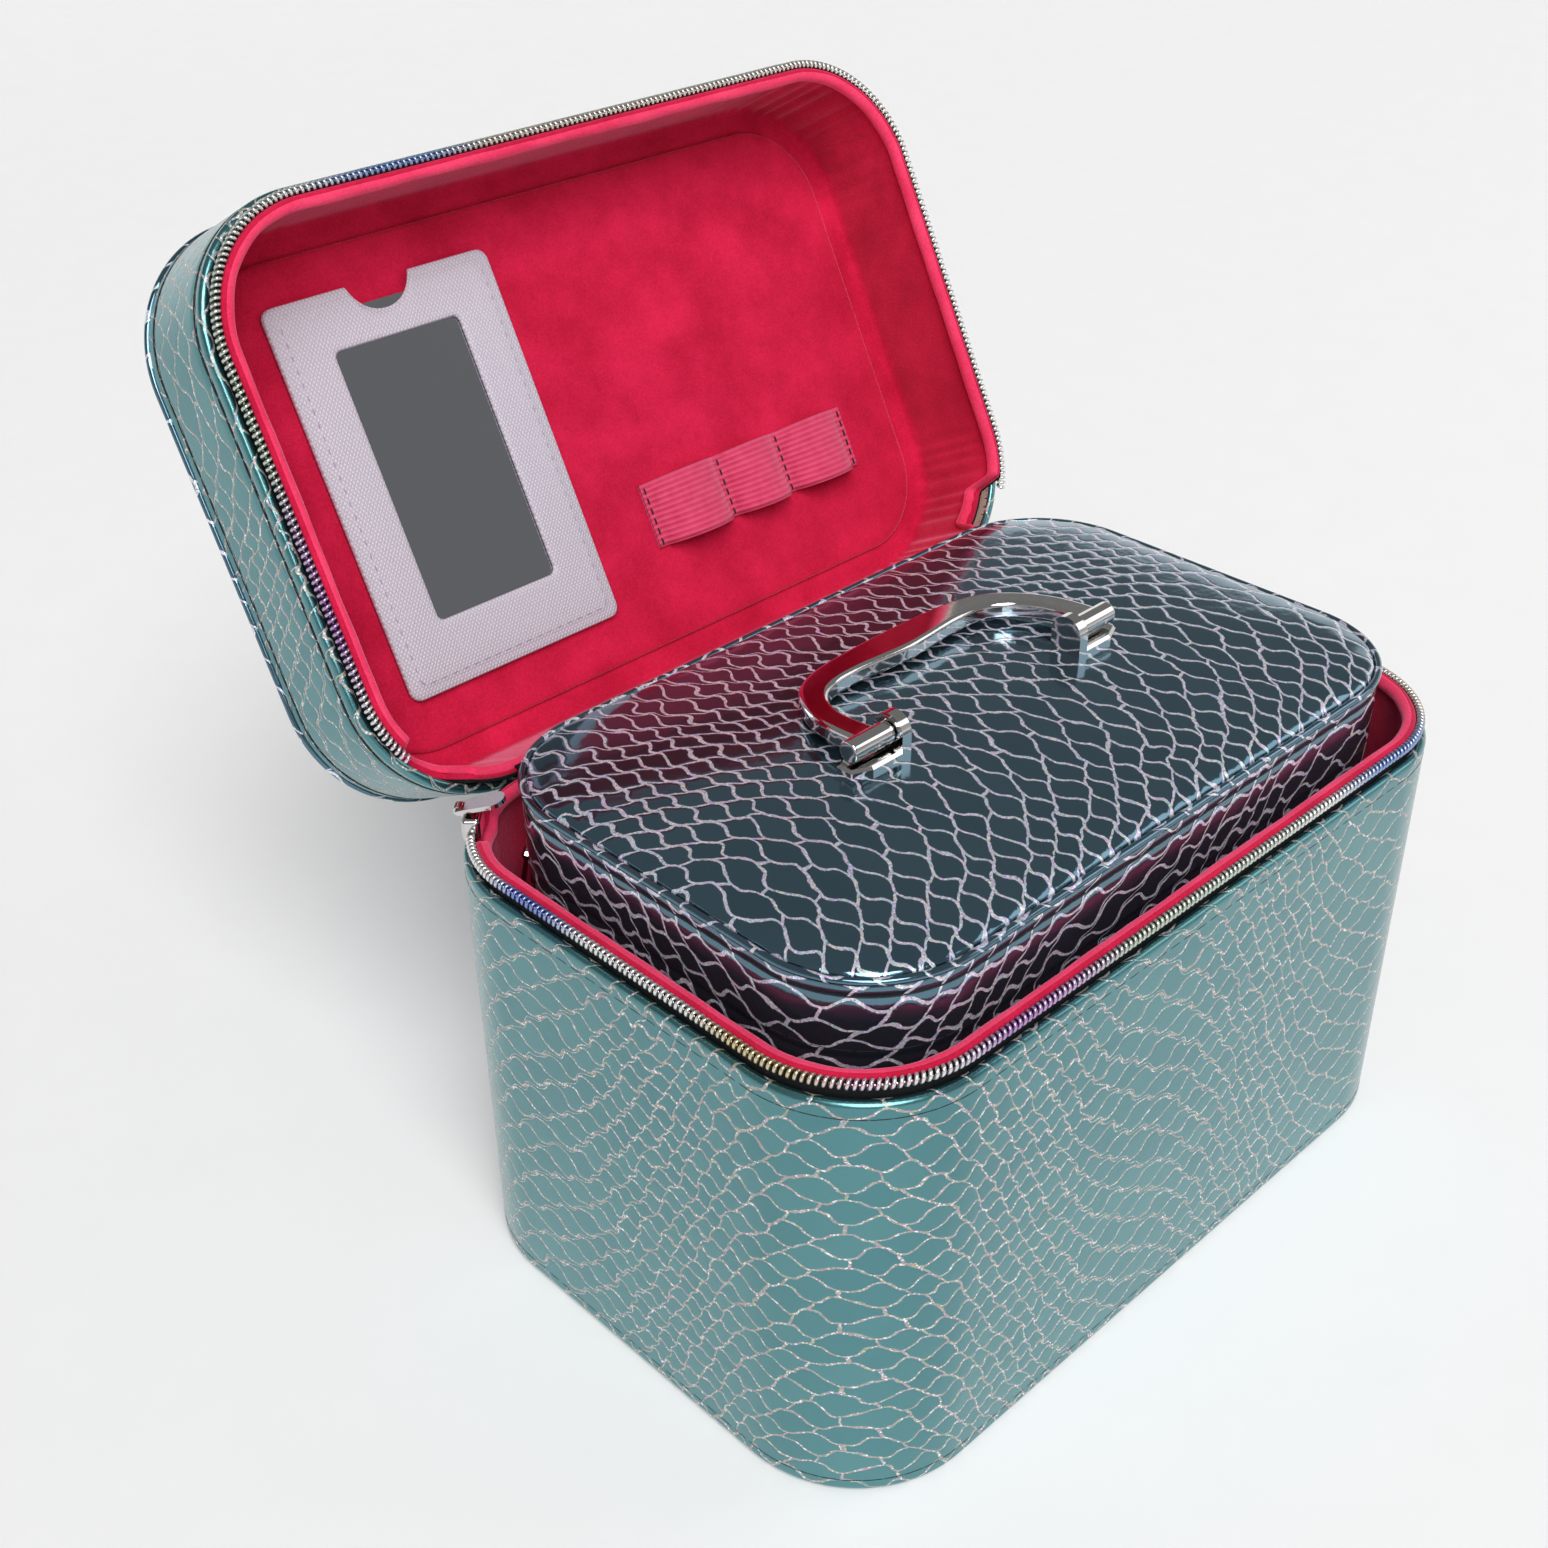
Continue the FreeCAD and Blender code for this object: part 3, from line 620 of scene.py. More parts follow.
@dataclass(frozen=True)
class Woven:
    """Fine woven tape, thread or card: a base colour with a fine two-way ripple."""

    name: str
    low: Colour
    high: Colour
    pitch: float = 0.55 * MM
    rough: float = 0.75
    depth: float = 0.12 * MM
    sheen: float = 0.1

    def build(self) -> Material:
        """Two crossing ripples, painted lighter on their crests as shade in the hollows, and a little unevenness."""
        g = Graph(self.name)
        place = g.space()
        waves = [g.math("SINE", g.math("MULTIPLY", part, 2 * math.pi / self.pitch)) for part in g.split(place)]
        weave = g.math("ADD", g.math("MULTIPLY", waves[0], waves[2]), g.math("MULTIPLY", waves[1], waves[2]))
        worn = g.noise(place, 180.0, 3.0).outputs["Fac"]
        # Weave crests lighter and hollows darker is painted shade; the worn noise is uneven tone
        share = g.math("ADD", g.math("MULTIPLY", weave, 0.25), worn, clamp=True)
        colour = g.mix(share, self.low, self.high)
        return g.set(Base_Color=colour, Roughness=self.rough, Normal=g.bump(weave, 0.4, self.depth),
                     Sheen_Weight=self.sheen, Specular_IOR_Level=0.2)


@dataclass(frozen=True)
class Metal:
    """Plated metal with faint polishing marks."""

    name: str
    colour: Colour
    rough: float

    def build(self) -> Material:
        """Fine scratches only in the roughness and a very slight ripple."""
        g = Graph(self.name)
        place = g.space()
        marks = g.noise(place, 420.0, 4.0, 0.7).outputs["Fac"]
        ripple = g.noise(place, 90.0, 2.0).outputs["Fac"]
        rough = g.ramp(marks, 0.3, 0.8, self.rough, self.rough * 2.2)
        return g.set(Base_Color=self.colour, Metallic=1.0, Roughness=rough, Normal=g.bump(ripple, 0.03, 0.6 * MM))


@dataclass(frozen=True)
class Coil:
    """Metallised zip coil whose tint drifts through the spectrum along its run."""

    name: str = "zip_coil"

    def build(self) -> Material:
        """Silver with blue, violet, gold and green stretches placed along the chain."""
        g = Graph(self.name)
        ramp = g.add("ShaderNodeValToRGB")
        g.put(ramp.inputs[0], g.math("DIVIDE", g.split(g.metres())[0], OUTER.length))
        silver, pink = (0.80, 0.79, 0.77, 1), (0.80, 0.56, 0.68, 1)
        stops = [(0.0, silver), (0.185, silver), (0.20, (0.08, 0.16, 0.62, 1)), (0.215, (0.12, 0.2, 0.6, 1)),
                 (0.235, silver), (0.28, silver), (0.30, (0.66, 0.50, 0.22, 1)), (0.325, (0.62, 0.5, 0.26, 1)),
                 (0.345, pink), (0.37, silver), (0.40, (0.42, 0.16, 0.52, 1)), (0.43, (0.52, 0.30, 0.56, 1)),
                 (0.46, (0.50, 0.58, 0.46, 1)), (0.53, (0.56, 0.60, 0.52, 1)), (0.57, silver),
                 (0.60, (0.16, 0.28, 0.62, 1)), (0.625, (0.2, 0.3, 0.6, 1)), (0.65, (0.66, 0.6, 0.5, 1)), (1.0, silver)]
        band = ramp.color_ramp
        while len(band.elements) < len(stops):
            band.elements.new(0.5)
        for element, (at, colour) in zip(band.elements, stops):
            element.position = at
            element.color = colour
        uneven = g.noise(g.space(), 600.0, 2.0).outputs["Fac"]
        colour = g.mix(g.math("MULTIPLY", uneven, 0.35), ramp.outputs[0], (0.85, 0.85, 0.86, 1.0))
        return g.set(Base_Color=colour, Metallic=0.9, Roughness=g.ramp(uneven, 0.2, 0.8, 0.22, 0.36))


@dataclass(frozen=True)
class CrossHatch:
    """White cross-hatch grain of the mirror pocket."""

    name: str = "cross_hatch"
    colour: Colour = (0.62, 0.58, 0.64, 1.0)
    # Darker colour painted into the grooves: painted shade
    shade: Colour = (0.46, 0.42, 0.50, 1.0)
    pitch: float = 1.1 * MM

    def build(self) -> Material:
        """Two sets of fine slanting grooves, darkened with painted shade."""
        g = Graph(self.name)
        place = g.metres()
        u, v, _ = g.split(place)
        steep = g.math("ADD", u, g.math("MULTIPLY", v, 0.8))
        slant = g.math("SUBTRACT", u, g.math("MULTIPLY", v, 0.55))
        rub = g.noise(place, 700.0, 3.0).outputs["Fac"]
        waves = [g.math("SINE", g.math("ADD", g.math("MULTIPLY", way, 2 * math.pi / self.pitch),
                                       g.math("MULTIPLY", rub, 2.5))) for way in (steep, slant)]
        groove = g.math("MINIMUM", waves[0], waves[1])
        # The grooves take the darker colour as painted shade in the recesses
        colour = g.mix(g.ramp(groove, -1.0, 0.1), self.shade, self.colour)
        return g.set(Base_Color=colour, Roughness=0.42, Normal=g.bump(groove, 0.55, 0.14 * MM), Coat_Weight=0.15)


@dataclass(frozen=True)
class Elastic:
    """Pink ribbed elastic with ribs along its length."""

    name: str = "elastic"
    low: Colour = (0.55, 0.012, 0.075, 1.0)
    high: Colour = (0.80, 0.075, 0.19, 1.0)
    pitch: float = 1.5 * MM
    thread: float = 0.5 * MM

    def build(self) -> Material:
        """Round ribs and fine cross threads, with painted shade darkening the furrows between the ribs."""
        g = Graph(self.name)
        place = g.metres()
        u, v, _ = g.split(place)
        rib = g.math("SINE", g.math("MULTIPLY", v, 2 * math.pi / self.pitch))
        thread = g.math("SINE", g.math("MULTIPLY", u, 2 * math.pi / self.thread))
        height = g.math("ADD", rib, g.math("MULTIPLY", thread, 0.25))
        rub = g.noise(place, 300.0, 3.0).outputs["Fac"]
        # Rib crests lighter and furrows darker is painted shade along the ribs; the rub noise is uneven tone
        share = g.math("ADD", g.math("MULTIPLY", rib, 0.28), g.math("MULTIPLY", rub, 0.9), clamp=True)
        return g.set(Base_Color=g.mix(share, self.low, self.high), Roughness=0.7,
                     Normal=g.bump(height, 0.6, 0.25 * MM), Sheen_Weight=0.4, Sheen_Tint=(1.0, 0.5, 0.65, 1.0))


def made(finish: Finish) -> Material:
    """A field that builds its finish when the set of finishes is made."""
    return field(default_factory=finish.build)


@dataclass
class Finishes:
    """Every material, built once."""

    shell: Material = made(Snakeskin("snakeskin", (0.072, 0.222, 0.248, 1.0), (0.118, 0.296, 0.312, 1.0),
                                     (0.40, 0.33, 0.295, 1.0), bold=0.05))
    panel: Material = made(Snakeskin("snakeskin_panel", (0.075, 0.150, 0.205, 1.0), (0.125, 0.225, 0.285, 1.0),
                                     (0.84, 0.78, 1.0, 1.0), 0.11, 0.45, wide=17 * MM, narrow=6.5 * MM,
                                     row=5.2 * MM, bold=0.18))
    velour: Material = made(Velour())
    # Lighter copy of the velour for the rolled rims: its extra brightness is painted sheen where light catches the roll
    rim: Material = made(Velour("velour_rim_painted_sheen", (0.72, 0.022, 0.085, 1.0), (0.95, 0.075, 0.18, 1.0)))
    tape: Material = made(Woven("black_tape", (0.0015, 0.0015, 0.002, 1), (0.007, 0.007, 0.009, 1), sheen=0.0))
    thread: Material = made(Woven("black_thread", (0.004, 0.004, 0.006, 1), (0.03, 0.03, 0.034, 1), 0.3 * MM, 0.5))
    pale_thread: Material = made(Woven("pale_thread", (0.30, 0.26, 0.36, 1), (0.46, 0.42, 0.52, 1), 0.3 * MM, 0.5))
    board: Material = made(Woven("card", (0.30, 0.25, 0.19, 1), (0.44, 0.38, 0.30, 1), 1.4 * MM, 0.9))
    under: Material = made(Woven("dark_leather", (0.010, 0.012, 0.014, 1), (0.03, 0.033, 0.036, 1), 1.7 * MM, 0.55))
    chrome: Material = made(Metal("chrome", (0.62, 0.61, 0.60, 1.0), 0.055))
    mirror: Material = made(Metal("mirror_glass", (0.50, 0.51, 0.54, 1.0), 0.03))
    coil: Material = made(Coil())
    pocket: Material = made(CrossHatch())
    elastic: Material = made(Elastic())


def bend(first: Sequence[float], last: Sequence[float], corner: Sequence[float], count: int) -> Array:
    """Quarter-turn of points that bulges towards a corner.

    Args:
        first: where it starts.
        last: where it ends.
        corner: the corner that it rounds.
        count: how many points.

    Returns:
        (count, 2) points.
    """
    t = np.linspace(0.0, 1.0, count)[:, None] * math.pi / 2
    a, b, c = (np.array(p, float) for p in (first, last, corner))
    return a + (c - a) * np.sin(t) + (b - c) * (1.0 - np.cos(t))


class Rider:
    """Anything whose pieces ride on one body."""

    body: str

    def settle(self, piece: Piece, slot: str, *nodes: str) -> None:
        """Lets a piece ride on the body and stand for nodes."""
        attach(piece, self.body)
        if nodes:
            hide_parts(*nodes)


@dataclass
class Half(Rider):
    """One half of a case: its cover, tape, lining, stitching and, on a lid, its padded top.

    Attributes:
        prefix: start of its nodes' names.
        body: the body that it rides on.
        outline: its outer outline.
        height: cover height.
        part_z: height of the parting plane in the shared frame.
        turn: which way up it stands.
        is_open: whether the open lid's turn is applied.
        uv_at: start of its print.
        flap: how far the cover's fold hangs over the zip.
    """

    prefix: str
    body: str
    outline: Outline
    height: float
    part_z: float
    turn: Turn
    is_open: bool = False
    uv_at: Pair = (0.0, 0.0)
    flap: float = 0.0

    def place(self, points: Array) -> Array:
        """Local points, standing on the closed end, to the shared frame."""
        z = self.part_z + self.turn.value * (points[..., 2] - self.height - ZIP_GAP)
        moved = np.concatenate([points[..., :2], z[..., None]], -1)
        return opened(moved) if self.is_open else moved

    def notch(self, s: Array) -> Array:
        """Depth of the hollows that leave room for the sliders at the two rear corners."""
        first = self.outline.spans[0] + self.outline.spans[1] / 2
        away = np.minimum(np.abs(s - first), np.abs(s - self.outline.length + first))
        deep, half, ease = NOTCHES[self.turn]
        step = np.clip((half + ease - away / MM) / ease, 0.0, 1.0)
        return deep * MM * step * step * (3.0 - 2.0 * step)

    def under_notch(self, s: Array, z: Array) -> Array:
        """Heights cut down to the hollows, each row easing into the one below it."""
        ease = 1.0 * MM
        start = self.height + ZIP_GAP - self.notch(s) - ease
        eased = start + ease * (1.0 - np.exp(-np.clip(z - start, 0.0, None) / ease))
        return np.where((z > start) & (self.notch(s) > 0.0), eased, z)

    def with_notch(self, s: Array, z: Array) -> Array:
        """Heights that follow the hollows as a whole."""
        return z - self.notch(s)

    def cover(self, fin: Finishes) -> None:
        """Folded cover: a wall with a rolled rim, drawn in where it is stitched."""
        h = self.height + self.flap
        flange = 9 * MM if self.turn is Turn.UP else 4 * MM
        wall_z = np.linspace(3.2 * MM, h - 2.6 * MM, 40)
        pull = 0.28 * MM * np.exp(-((wall_z - 4.2 * MM) / (1.0 * MM)) ** 2)
        pull += 0.34 * MM * np.exp(-((wall_z - h + 4.0 * MM) / (1.1 * MM)) ** 2)
        profile = np.vstack([
            [[flange, COVER_T], [flange, 0.0], [3.5 * MM, 0.0]],
            bend((2.2 * MM, 0.0), (0.0, 2.2 * MM), (0.1 * MM, 0.1 * MM), 7),
            np.stack([pull, wall_z], -1),
            bend((0.0, h - 1.5 * MM), (1.4 * MM, h), (0.0, h), 6),
            bend((1.5 * MM, h), (WALL_T, h - 0.9 * MM), (WALL_T, h), 5)[1:],
            [[WALL_T, h - 2.2 * MM], [COVER_T, h - 2.4 * MM], [COVER_T, COVER_T]],
        ])
        piece = ring_piece(f"{self.prefix}_wrap", self.outline, profile, self.place,
                           fin.panel if self.outline == INNER else fin.shell, uv_at=self.uv_at)
        self.settle(piece, "snakeskin", f"{self.prefix}_cover")

    def stitches(self, fin: Finishes, rows: Sequence[float]) -> None:
        """Rows of thin thread lying in the drawn-in seams between needle holes."""
        pitch, long, thick, sunk = 4.9 * MM, 4.7 * MM, 0.17 * MM, 0.30 * MM
        t = np.linspace(-1, 1, 13)
        arc = np.stack([t * long / 2, 0 * t, 0.16 * MM * (1 - t ** 4) - 0.02 * MM], -1)
        knot = 0.30 * MM * np.exp(-((np.abs(t) - 1) / 0.10) ** 2) * np.sqrt(1.01 - t ** 8)
        verts, faces = tube_template(arc, thick + knot, 6)
        p, out = self.outline.at(self.outline.ring_steps(pitch))
        for index, z in enumerate(rows):
            spot, axes = frames(self.place, p - out * sunk, out, z)
            piece = scatter_piece(f"{self.prefix}_stitches_{index}", verts, faces, spot, axes[:, [0, 2, 1]], fin.thread)
            self.settle(piece, "tape")

    def tape(self, fin: Finishes, nodes: Sequence[str]) -> None:
        """Woven zip tape standing above the cover's fold all the way round."""
        top = self.height + ZIP_GAP - 1.3 * MM
        low = self.height - 10 * MM
        profile = np.array([[WALL_T, low], [WALL_T, self.height], [WALL_T - 0.15 * MM, top],
                            [SKIN_T, top], [SKIN_T, low]])
        piece = ring_piece(f"{self.prefix}_tape_band", self.outline, profile, self.place, fin.tape,
                           dip=self.under_notch)
        self.settle(piece, "tape", *nodes)

    def coil(self, fin: Finishes, node: str, start: float, marks_at: float) -> None:
        """Nylon coil: one slanting wire loop for every tooth along the chain.

        Args:
            fin: the finishes.
            node: the node that it stands for.
            start: arc length where the chain starts and, from the other side, ends.
            marks_at: where its tint starts.
        """
        pitch, wire = 1.6 * MM, 0.47 * MM
        t = np.linspace(0, 1, 11)
        turn = -0.35 * math.pi + 1.7 * math.pi * t
        half_t, half_h = 0.80 * MM, 1.02 * MM
        loop = np.stack([(t - 0.5) * 0.75 * pitch, half_t * np.sin(turn), -half_h * np.cos(turn) - 0.12 * MM], -1)
        verts, faces = tube_template(loop, np.full(len(t), wire), 6, (1.0, 0.0, 0.0))
        count = int((self.outline.length - 2 * start) / pitch)
        lead = 0.25 if self.turn is Turn.UP else 0.75
        s = start + (np.arange(count) + lead) * pitch
        p, out = self.outline.at(s)
        sunk, below = SKIN_T - 1.05 * MM, 1.45 * MM
        spot, axes = frames(self.place, p - out * sunk, out, self.height + ZIP_GAP - below)
        piece = scatter_piece(f"{self.prefix}_coil_teeth", verts, faces, spot, axes, fin.coil, s + marks_at)
        self.settle(piece, "coil", node)

    def lining(self, fin: Finishes, ridges: float) -> None:
        """Velour wall with a soft rolled rim and gathers in the corners."""
        top = self.height + ZIP_GAP - 0.5 * MM
        floor = COVER_T + FLOOR_T + LINING_T
        inner = SKIN_T + LINING_T
        wall_z = np.linspace(top - 1.6 * MM, floor + 2.4 * MM, 16)
        over = np.vstack([
            [[SKIN_T + 0.05 * MM, floor - LINING_T + 0.1 * MM], [SKIN_T + 0.05 * MM, top - 1.4 * MM]],
            bend((SKIN_T + 0.05 * MM, top - 1.0 * MM), (SKIN_T + 0.9 * MM, top), (SKIN_T + 0.05 * MM, top), 5),
            bend((SKIN_T + 1.0 * MM, top), (inner + 0.2 * MM, top - 1.2 * MM), (inner + 0.2 * MM, top), 5),
        ])
        profile = np.vstack([
            over, np.stack([np.full(16, inner), wall_z], -1),
            bend((inner + 0.1 * MM, floor + 2.0 * MM), (inner + 2.4 * MM, floor), (inner + 0.1 * MM, floor), 5),
            [[inner + 12 * MM, floor], [inner + 12 * MM, floor - LINING_T + 0.1 * MM]],
        ])
        spans = np.cumsum(self.outline.spans)
        middles = np.array([(spans[i - 1] + spans[i]) / 2 for i in (1, 3, 5, 7)])
        reach = self.outline.radius * 0.95
        first_wall, last_wall = len(over), len(profile) - 2

        def gather(s: Array, row: int) -> Array:
            """Cusped ridges, strongest at each corner, that die away towards the rim."""
            if not first_wall <= row <= last_wall:
                return 0 * s
            near = np.exp(-((s[:, None] - middles[None]) / reach) ** 4).sum(1)
            drift = 0.8 * np.sin(s * 310.0) + 0.6 * np.sin(s * 173.0 + 1.0)
            wave = np.abs(np.sin(s * math.pi / (5.2 * MM) + drift))
            fade = min(1.0, (row - first_wall) / 5.0)
            return ridges * fade * near * (wave - 0.35)

        piece = ring_piece(f"{self.prefix}_velour", self.outline, profile, self.place, fin.velour, 1.0 * MM, gather,
                           dip=self.under_notch)
        self.settle(piece, "lining", f"{self.prefix}_lining")
        angle = np.arange(14) * 2 * math.pi / 14
        middle = np.array([SKIN_T + 1.75 * MM, top - 1.75 * MM])
        roll = middle + np.stack([1.65 * MM * np.cos(angle), 1.75 * MM * np.sin(angle)], -1)

        def plump(s: Array, row: int) -> Array:
            """Slight unevenness of the stuffed edge."""
            return 0.10 * MM * np.sin(s * 140.0 + row) + 0.06 * MM * np.sin(s * 391.0)

        # The rim takes the lighter velour copy, whose extra brightness is painted sheen
        rim = ring_piece(f"{self.prefix}_velour_rim_painted_sheen", self.outline, roll, self.place, fin.rim, 1.2 * MM, plump,
                         dip=self.with_notch)
        self.settle(rim, "lining")
        edge = self.outline.inset(inner + 10 * MM)
        rows = np.array([[0.0, floor - 1.0 * MM], [0.0, floor + 0.05 * MM],
                         [0.3, floor + 0.1 * MM], [1.0, floor + 0.1 * MM]])
        base = disc_piece(f"{self.prefix}_velour_floor", edge, rows, self.place, fin.velour)
        self.settle(base, "lining")

    def pad(self, fin: Finishes) -> None:
        """Padded top: a crown that springs from the corded seam and flattens to the middle."""
        edge = self.outline.inset(1.3 * MM)
        depth = edge.depth / 2
        share = np.concatenate([[0.0, 0.0], np.linspace(0.0, 1.0, 46)[1:] ** 1.6])
        run = share * depth
        spring = np.sqrt(np.clip(1 - (1 - np.clip(run / (9 * MM), 0, 1)) ** 2, 0, 1))
        swell = 1 - (1 - np.clip(run / depth, 0, 1)) ** 2.4
        z = -(2.2 * MM * spring + 2.9 * MM * swell)
        z[0] = COVER_T * 0.6

        def pucker(s: Array, share_in: Array, height: Array) -> Array:
            """Small pulls along the seam and a slow swell over the foam."""
            inwards = share_in * depth
            pulls = 0.16 * MM * np.sin(s * 2 * math.pi / (9.8 * MM)) * np.exp(-inwards / (3.5 * MM)) * (share_in > 0)
            slow = 0.18 * MM * np.sin(s * 23.0 + 1.0) * np.sin(np.pi * np.clip(share_in, 0, 1)) ** 2
            return pulls + slow

        rows = np.stack([share, z], -1)
        piece = disc_piece(f"{self.prefix}_padded_top", edge, rows, self.place, fin.panel, 1.6 * MM, pucker,
                           (-20 * MM, 0.0))
        self.settle(piece, "snakeskin", f"{self.prefix}_pad")
        angle = np.arange(10) * 2 * math.pi / 10
        sunk, radius = 0.30 * MM, 0.95 * MM
        cord = np.stack([sunk + radius * np.cos(angle), sunk + radius * np.sin(angle)], -1)
        bead = ring_piece(f"{self.prefix}_corded_edge", self.outline, cord, self.place, fin.panel, uv_at=self.uv_at)
        self.settle(bead, "snakeskin", f"{self.prefix}_piping")


@dataclass
class LidFittings(Rider):
    """Mirror pocket, brush loops and velour panel inside the outer lid, given as in the shut lid.

    Attributes:
        panel_z: height of the panel's face.
        body: the body that they ride on.
    """

    panel_z: float = PART_Z + LID_H + ZIP_GAP - COVER_T - FLOOR_T - LINING_T - 1.5 * MM
    body: str = "lid"

    def build(self, fin: Finishes) -> None:
        """Makes the three fittings."""
        self.panel(fin)
        self.pocket(fin)
        self.loops(fin)

    def panel(self, fin: Finishes) -> None:
        """Velour-covered card panel with a soft rolled edge."""
        edge = OUTER.inset(SKIN_T + LINING_T + 7 * MM)
        z = self.panel_z
        roll = bend((0.0, z + 0.9 * MM), (0.018, z), (0.0, z), 6)
        rows = np.vstack([[[0.0, z + 1.6 * MM]], roll, np.stack([np.linspace(0.06, 1.0, 14), np.full(14, z)], -1)])
        piece = disc_piece("lid_velour_panel", edge, rows, opened, fin.velour)
        self.settle(piece, "lining", "lid_panel")

    def pocket(self, fin: Finishes) -> None:
        """Pocket front: a frame between its outline, with a thumb notch, and the window."""
        low_y = HINGE_Y - POCKET_FROM_HINGE
        centre = np.array([POCKET_X, low_y - POCKET.depth / 2])
        window_centre = np.array([POCKET_X, low_y - WINDOW_UP - WINDOW.depth / 2])
        counts = [26, 8, 60, 8, 90, 8, 60, 8, 26]
        run = np.repeat(np.arange(9), counts)
        t = np.concatenate([np.arange(c) / c for c in counts])
        outer = POCKET.at_run(run, t)[0] + centre
        inner = WINDOW.at_run(run, t)[0] + window_centre
        far_side = run == 4
        bow, deep = 9.77 * MM, 7.5 * MM
        chord = np.sqrt(np.clip(bow ** 2 - (outer[:, 0] - centre[0]) ** 2, 0, None)) - (bow - deep)
        outer[:, 1] += np.where(far_side, np.clip(chord, 0, None), 0.0)
        share = np.array([0.0, 0.0, 0.006, 0.03, 0.10, 0.16, 0.24, 0.5, 0.9, 0.965, 0.99, 1.0, 1.0, 0.06])
        lift = np.array([0.05, 1.2, 1.75, 2.1, 1.95, 2.3, 2.5, 2.6, 2.6, 2.55, 2.3, 1.9, 1.6, 1.6]) * MM
        xy = outer[None] * (1 - share[:, None, None]) + inner[None] * share[:, None, None]
        mouth_half, mouth_lift = 30.4 * MM, 1.6 * MM
        mouth = far_side & (np.abs(outer[:, 0] - centre[0]) < mouth_half)
        lift = np.where(mouth[None], np.maximum(lift[:, None], mouth_lift), lift[:, None])
        points = opened(np.concatenate([xy, (self.panel_z - lift)[..., None]], -1))
        flat = np.concatenate([xy, xy[:, :1]], 1)
        uv = np.concatenate([flat, flat[:1]], 0)
        piece = grid_object("lid_mirror_pocket", points, uv, fin.pocket, True, True)
        self.settle(piece, "pocket", "mirror_pocket")
        margin, sewn, step, clear = 7 * MM, 320 * MM, 3.4 * MM, 4.5 * MM
        seam = Outline(POCKET.width - margin, POCKET.depth - margin, 2 * MM)
        path, out = seam.at(np.arange(0.0, sewn, step))
        path = path + centre
        keep = path[:, 1] > centre[1] - POCKET.depth / 2 + clear
        self.sew("pocket_stitches", path[keep], out[keep], self.panel_z - 2.1 * MM, fin.pale_thread, "pocket")

    def sew(self, name: str, path: Array, out: Array, z: float, material: Material, slot: str,
            long: float = 2.6 * MM) -> None:
        """Row of thread on a flat face of the lid's inside.

        Args:
            name: object name.
            path: (n, 2) places of the stitches.
            out: (n, 2) unit directions across the seam.
            z: the face's height.
            material: the thread.
            slot: not used.
            long: length of a stitch.
        """
        t = np.linspace(-1, 1, 7)
        arc = np.stack([t * long / 2, 0 * t, 0.22 * MM * (1 - t ** 2)], -1)
        verts, faces = tube_template(arc, 0.28 * MM * np.sqrt(1.02 - t ** 4), 6)
        spot, axes = frames(opened, path, out, z, -1.0)
        self.settle(scatter_piece(name, verts, faces, spot, axes, material), slot)

    def loops(self, fin: Finishes) -> None:
        """Elastic strip sewn down at its ends and between three loops that stand fuller at the lower edge."""
        spans, tab, wide = LOOP_SPANS, LOOP_TAB, LOOP_W
        total = spans.sum() + 4 * tab
        middle = OUTER.width / 2 - LOOPS_FROM_SIDE - total / 2
        near_y = HINGE_Y - LOOPS_FROM_HINGE
        x = np.linspace(-total / 2, total / 2, 181)
        starts = -total / 2 + tab + np.concatenate([[0.0], np.cumsum(spans + tab)[:-1]])
        reach = (x[:, None] - starts[None] - spans[None] / 2) / (spans[None] / 2)
        arch = np.sqrt(np.clip(1 - reach ** 2, 0, 1)).max(1) ** 1.3
        v = np.linspace(0.0, 1.0, 13)
        fuller = 0.50 + 0.62 * v ** 1.3
        rise = LOOP_RISE * arch[None] * fuller[:, None]
        y = near_y - wide * (1 - v[:, None]) + 0 * x[None]
        y = y + 0.7 * MM * arch[None] * (v[:, None] - 0.5)
        top = np.stack([middle + x[None] + 0 * y, y, self.panel_z - rise - LOOP_T], -1)
        under = np.stack([middle + x[None] + 0 * y, y, self.panel_z - rise - 0.05 * MM], -1)
        points = opened(np.concatenate([top, under[::-1]], 0))
        run = np.concatenate([[0], np.cumsum(np.hypot(np.diff(x), np.diff(LOOP_RISE * arch)))])
        down = np.concatenate([v * wide, v[::-1] * wide, [0.0]])
        uv = np.stack(np.meshgrid(run, down), -1)
        piece = grid_object("lid_brush_loops", points, uv, fin.elastic, True, False)
        self.settle(piece, "elastic", "brush_loops")
        seams = np.concatenate([[-total / 2 + 1.2 * MM], starts[1:] - tab / 2, [total / 2 - 1.2 * MM]]) + middle
        drop = np.arange(1.5 * MM, wide - 1 * MM, 2.9 * MM)
        for index, at in enumerate(seams):
            path = np.stack([np.full(len(drop), at), near_y - drop], -1)
            out = np.broadcast_to(np.array([1.0, 0.0]), path.shape)
            self.sew(f"loop_stitches_{index}", path, out, self.panel_z - LOOP_T, fin.thread, "tape", 2.0 * MM)


